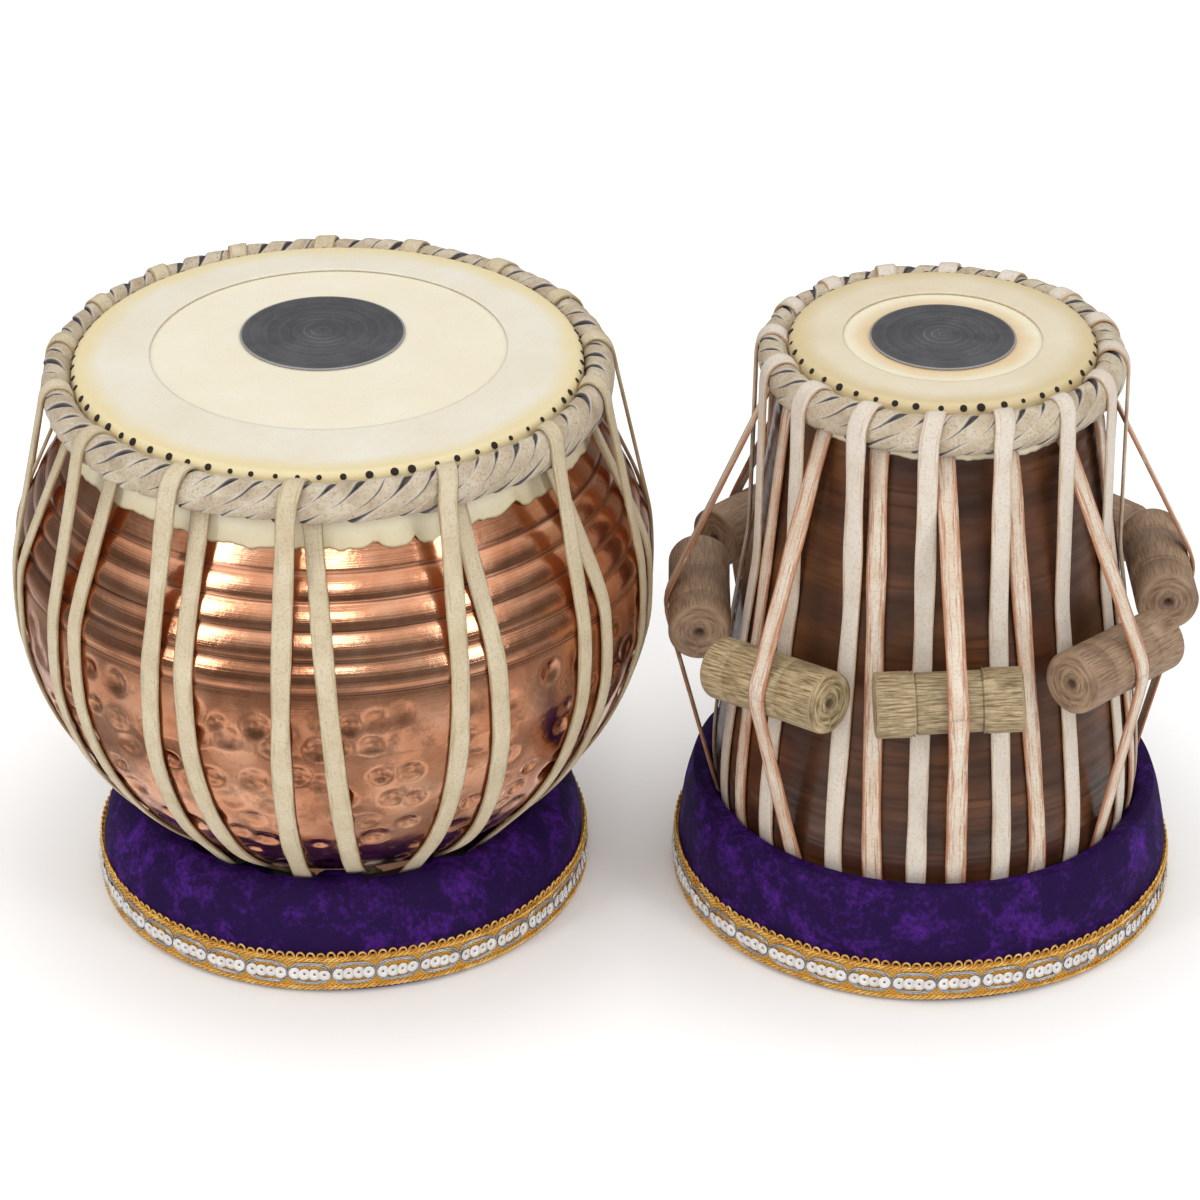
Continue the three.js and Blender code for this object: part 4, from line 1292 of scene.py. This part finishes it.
BASS_CUSHION, TREBLE_CUSHION = 0.1166, 0.1180   # radii
SEAT_GAP = 0.0008            # between a drum's wall and the velvet


def cushion(drum, body_axis, shapes, wall, strap_angles, side_radius, shoulder, crown, hole):
    """A ring cushion: its side, dome and crown, then the seat pressed in by the drum and straps."""
    floor_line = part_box(drum + "_cushion_cover")[0].z
    away = STRAP_GAP * 2 + STRAP_THICKNESS + 0.0006
    seat = [(r, z) for r, z in wall[1:] if z < crown + 0.02]
    seat_heights = [z for r, z in seat]
    seat_radii = [r for r, z in seat]
    bare = lambda z: float(np.interp(z, seat_heights, seat_radii))
    top = bare(crown) + SEAT_GAP
    dome = []
    for k in range(15):
        t = k / 14
        one = (1 - t) ** 2, 2 * t * (1 - t), t * t
        dome.append((
            one[0] * side_radius + one[1] * shoulder[0] + one[2] * (top + 0.010),
            one[0] * 0.023 + one[1] * shoulder[1] + one[2] * crown,
        ))
    roll = [
        (top + 0.010 - 0.008 * math.sin(a), crown - 0.004 + 0.004 * math.cos(a))
        for a in (0.3, 0.6, 0.9, 1.2, 1.5)
    ]
    inner_heights = np.linspace(crown - 0.0055, floor_line + 0.016, 10)
    seat_line = [(max(bare(z) + SEAT_GAP, hole), z) for z in inner_heights]
    line = [(side_radius, 0.0012), (side_radius + 0.0002, 0.012)] + dome + roll + seat_line + [(hole, 0.0012)]
    made = turned(drum + "_velvet", line, body_axis, velvet, steps=240)
    points = points_of(made)
    radius, angle, height = polar(points, body_axis)
    on_top = np.clip((height - 0.026) / 0.012, 0, 1) * (radius > top + 0.004)
    lumps = smooth_noise(points, 0.045, 1) * 0.0016 + smooth_noise(points, 0.016, 6) * 0.0007
    height += on_top * (lumps - 0.0006)
    side = np.clip((side_radius + 0.001 - radius) / 0.01, 0, 1)
    radius += (1 - side) * (height > 0.022) * (lumps * 0.8)
    # keep clear of every strap: push the seat out under it
    outline = np.array(taut(shapes[0][1:] + shapes[3][:1]))
    order = np.argsort(outline[:, 1])
    strap_radius = np.interp(height, outline[order, 1], outline[order, 0]) + STRAP_THICKNESS / 2 + 0.0009
    press = np.zeros(len(angle))
    for strap_angle in strap_angles:
        off = (np.degrees(angle) - strap_angle + 180) % 360 - 180
        arc = np.abs(np.radians(off)) * np.maximum(radius, 0.05)
        press = np.maximum(press, np.clip((0.0075 - arc) / 0.0024, 0, 1))
    need = np.maximum(strap_radius - radius, 0) * (radius < top + 0.012)
    radius += need * press
    move_points(made, radius, angle, height, body_axis)
    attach(made, "cushions")
    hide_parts(drum + "_cushion_cover", drum + "_cushion_stuffing", drum + "_cushion_base")
    return made


bass_straps = [a - 4.4 for a in bass_loops] + [a - 12.6 for a in bass_loops]
treble_straps = [TREBLE_FIRST_LOOP + LOOP_STEP * i + d for i in range(LOOPS) for d in (2.7, 15.5)]
cushion(
    "bayan", BASS_AXIS, bass_shapes, bowl_line(), bass_straps,
    side_radius=BASS_CUSHION, shoulder=(0.1130, 0.0455), crown=0.0508, hole=0.0735,
)
cushion(
    "dayan", TREBLE_AXIS, treble_shapes, body_line, treble_straps,
    side_radius=TREBLE_CUSHION, shoulder=(0.1165, 0.0430), crown=0.0585, hole=0.0820,
)

# ---------------------------------------------------------------------------------------------
# The trimming sewn round each cushion: a netted gold band with silver-braided ovals, a row of
# pale sequins in each, gold cords along both edges and a row of small loops standing above.
# ---------------------------------------------------------------------------------------------

gold_thread, tree, gold_shader = material("gold_thread", Roughness=0.42, Metallic=0.45)
patches, grains = use_group(tree, blotches, Vector=where(tree), Patch=180.0, Grain=1600.0)
base = ramp(tree, patches, (0.1, (0.58, 0.28, 0.04)), (0.5, (0.84, 0.47, 0.09)), (0.9, (0.95, 0.66, 0.22)))
base = mixed(tree, remap(tree, grains, 0.8, 1.0, 0.0, 0.6), base, (0.9, 0.82, 0.6))
tree.links.new(base, gold_shader.inputs["Base Color"])

gold_net, tree, net_shader = material("gold_net", Roughness=0.5, Metallic=0.3)
seen = node(tree, "ShaderNodeUVMap", uv_map="band").outputs["UV"]
weave = None
for slant in (1.0, -1.0):
    flat = node(tree, "ShaderNodeSeparateXYZ", {"Vector": seen})
    cross = maths(tree, "ADD", flat.outputs["X"], maths(tree, "MULTIPLY", flat.outputs["Y"], slant))
    thread = maths(tree, "ABSOLUTE", maths(tree, "SINE", maths(tree, "MULTIPLY", cross, 1500.0)))
    weave = thread if weave is None else maths(tree, "MAXIMUM", weave, thread)
patches, grains = use_group(tree, blotches, Vector=where(tree), Patch=150.0, Grain=1600.0)
base = mixed(tree, weave, (0.22, 0.09, 0.02), (0.86, 0.47, 0.08))
base = mixed(tree, remap(tree, patches, 0.3, 1.0, 0.0, 0.5), base, (0.62, 0.30, 0.05))
tree.links.new(base, net_shader.inputs["Base Color"])
relief_of(tree, net_shader, weave, 0.8, 0.0006)

silver_thread, tree, silver_shader = material("silver_thread", Roughness=0.35, Metallic=0.7)
patches, grains = use_group(tree, blotches, Vector=where(tree), Patch=400.0, Grain=1800.0)
base = mixed(tree, grains, (0.22, 0.22, 0.24), (0.80, 0.80, 0.82))
tree.links.new(base, silver_shader.inputs["Base Color"])

sequin_finish, tree, sequin_shader = material("pearl_sequin", Roughness=0.25, Coat_Weight=0.4)
patches, grains = use_group(tree, blotches, Vector=where(tree), Patch=120.0, Grain=900.0)
base = mixed(tree, patches, (0.72, 0.70, 0.69), (0.90, 0.88, 0.86))
tree.links.new(base, sequin_shader.inputs["Base Color"])


MOTIF_LENGTH = 0.0207        # one oval with its four sequins
LOOP_SPACING = 0.0048        # between the small loops on the upper edge
SEQUIN_CORNERS = 14
SEQUIN_SECTION = (           # (radius, rise) round a sequin's cupped section, from its hole outwards
    (0.0006, 0.0), (0.0017, 0.0), (0.0029, 0.0004), (0.0029, 0.0001), (0.0017, -0.0003), (0.0006, -0.0003),
)


def trimming(drum, axis, cushion_radius):
    """One cushion's trimming, as a band, gold threads, silver ovals and sequins."""
    low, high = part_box(drum + "_cushion_trim")
    bottom, top = low.z + 0.0016, high.z - 0.0022
    inner, outer = cushion_radius + 0.0003, cushion_radius + 0.0013
    middle = (bottom + top) / 2
    motifs = round(2 * math.pi * outer / MOTIF_LENGTH)
    pitch = 2 * math.pi / motifs

    def lift(angle):
        return 0.0006 * math.sin(3 * angle + 1) + 0.0004 * math.sin(7 * angle)

    def on_band(angle, height, out):
        return ring_point(axis, outer + out, height + lift(angle), angle)

    band_line = [(inner, bottom), (outer, bottom), (outer, middle), (outer, top), (inner, top)]
    band = turned(drum + "_trim_band", band_line, axis, gold_net, steps=240)
    band.data.shade_flat()
    radius, angle, height = polar(points_of(band), axis)
    write_plan(band, "band", np.stack([angle * outer, height], 1))
    move_points(band, radius, angle, height + np.array([lift(a) for a in angle]), axis)

    def cord(height, out, size, twist):
        """Two threads twisted round each other all the way round."""
        made = []
        turns = round(2 * math.pi * outer / twist)
        for phase in (0.0, math.pi):
            path, sideways = [], []
            for k in range(turns * 8):
                a = 2 * math.pi * k / (turns * 8)
                t = turns * a + phase
                path.append(on_band(a, height + size * 0.55 * math.sin(t), out + size * 0.55 * math.cos(t)))
                sideways.append((math.sin(a), -math.cos(a), 0.0))
            made.append(strip(path, np.array(sideways), size, size, 0.0, closed=True, sides=5))
        return made

    threads = cord(bottom + 0.0008, 0.0003, 0.0011, 0.0058) + cord(top - 0.0012, 0.0003, 0.0011, 0.0058)
    loops = round(2 * math.pi * outer / LOOP_SPACING)
    for n in range(loops):
        start = 2 * math.pi * n / loops
        tall = random.uniform(0.0026, 0.0036)
        path, sideways = [], []
        for k in range(9):
            t = math.pi * (1.25 * k / 8 - 0.125)
            a = start + 0.0019 / outer * math.cos(t)
            rise = tall * max(math.sin(t), -0.3)
            path.append(on_band(a, top - 0.0004 + rise, -0.0002 + 0.0006 * math.sin(t)))
            sideways.append((math.sin(a), -math.cos(a), 0.0))
        threads.append(strip(path, np.array(sideways), 0.0010, 0.0010, 0.0, sides=5))
    ovals, discs, disc_faces = [], [], []
    for n in range(motifs):
        start = pitch * (n + 0.5)
        for size in (1.0, 0.86):
            path, sideways = [], []
            for k in range(32):
                t = 2 * math.pi * k / 32
                c, s = math.cos(t), math.sin(t)
                a = start + size * pitch * 0.485 * math.copysign(abs(c) ** 0.7, c)
                rise = size * 0.0056 * math.copysign(abs(s) ** 0.8, s)
                path.append(on_band(a, middle + rise + random.uniform(-0.0001, 0.0001), 0.0004))
                sideways.append((math.sin(a), -math.cos(a), 0.0))
            ovals.append(strip(path, np.array(sideways), 0.0009, 0.0009, 0.0, closed=True, sides=5))
        for k in range(4):
            a = start + pitch * (k - 1.5) * 0.225 + random.uniform(-0.0006, 0.0006)
            outward = Vector((math.sin(a), -math.cos(a), 0))
            around = Vector((math.cos(a), math.sin(a), 0))
            facing = outward + around * random.uniform(0.02, 0.2)
            facing = (facing + Vector((0, 0, random.uniform(-0.1, 0.2)))).normalized()
            across = facing.cross(Vector((0, 0, 1))).normalized()
            upright = across.cross(facing)
            centre = Vector(on_band(a, middle + random.uniform(-0.0004, 0.0004), 0.0010 + 0.0002 * (k % 2)))
            first = len(discs)
            for reach, rise in SEQUIN_SECTION:
                for m in range(SEQUIN_CORNERS):
                    t = 2 * math.pi * m / SEQUIN_CORNERS
                    ray = across * math.cos(t) + upright * math.sin(t)
                    discs.append(centre + ray * reach + facing * rise)
            for level in range(len(SEQUIN_SECTION)):
                lower = first + level * SEQUIN_CORNERS
                upper = first + (level + 1) % len(SEQUIN_SECTION) * SEQUIN_CORNERS
                for m in range(SEQUIN_CORNERS):
                    beside = (m + 1) % SEQUIN_CORNERS
                    disc_faces.append([lower + m, upper + m, upper + beside, lower + beside])
    pieces = [
        band,
        strips(drum + "_trim_threads", threads, gold_thread),
        strips(drum + "_trim_ovals", ovals, silver_thread),
        solid(drum + "_trim_sequins", discs, disc_faces, sequin_finish),
    ]
    for piece in pieces:
        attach(piece, "cushions")
        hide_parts(drum + "_cushion_trim")


random.seed(23)
trimming("bayan", BASS_AXIS, BASS_CUSHION)
trimming("dayan", TREBLE_AXIS, TREBLE_CUSHION)

low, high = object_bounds()
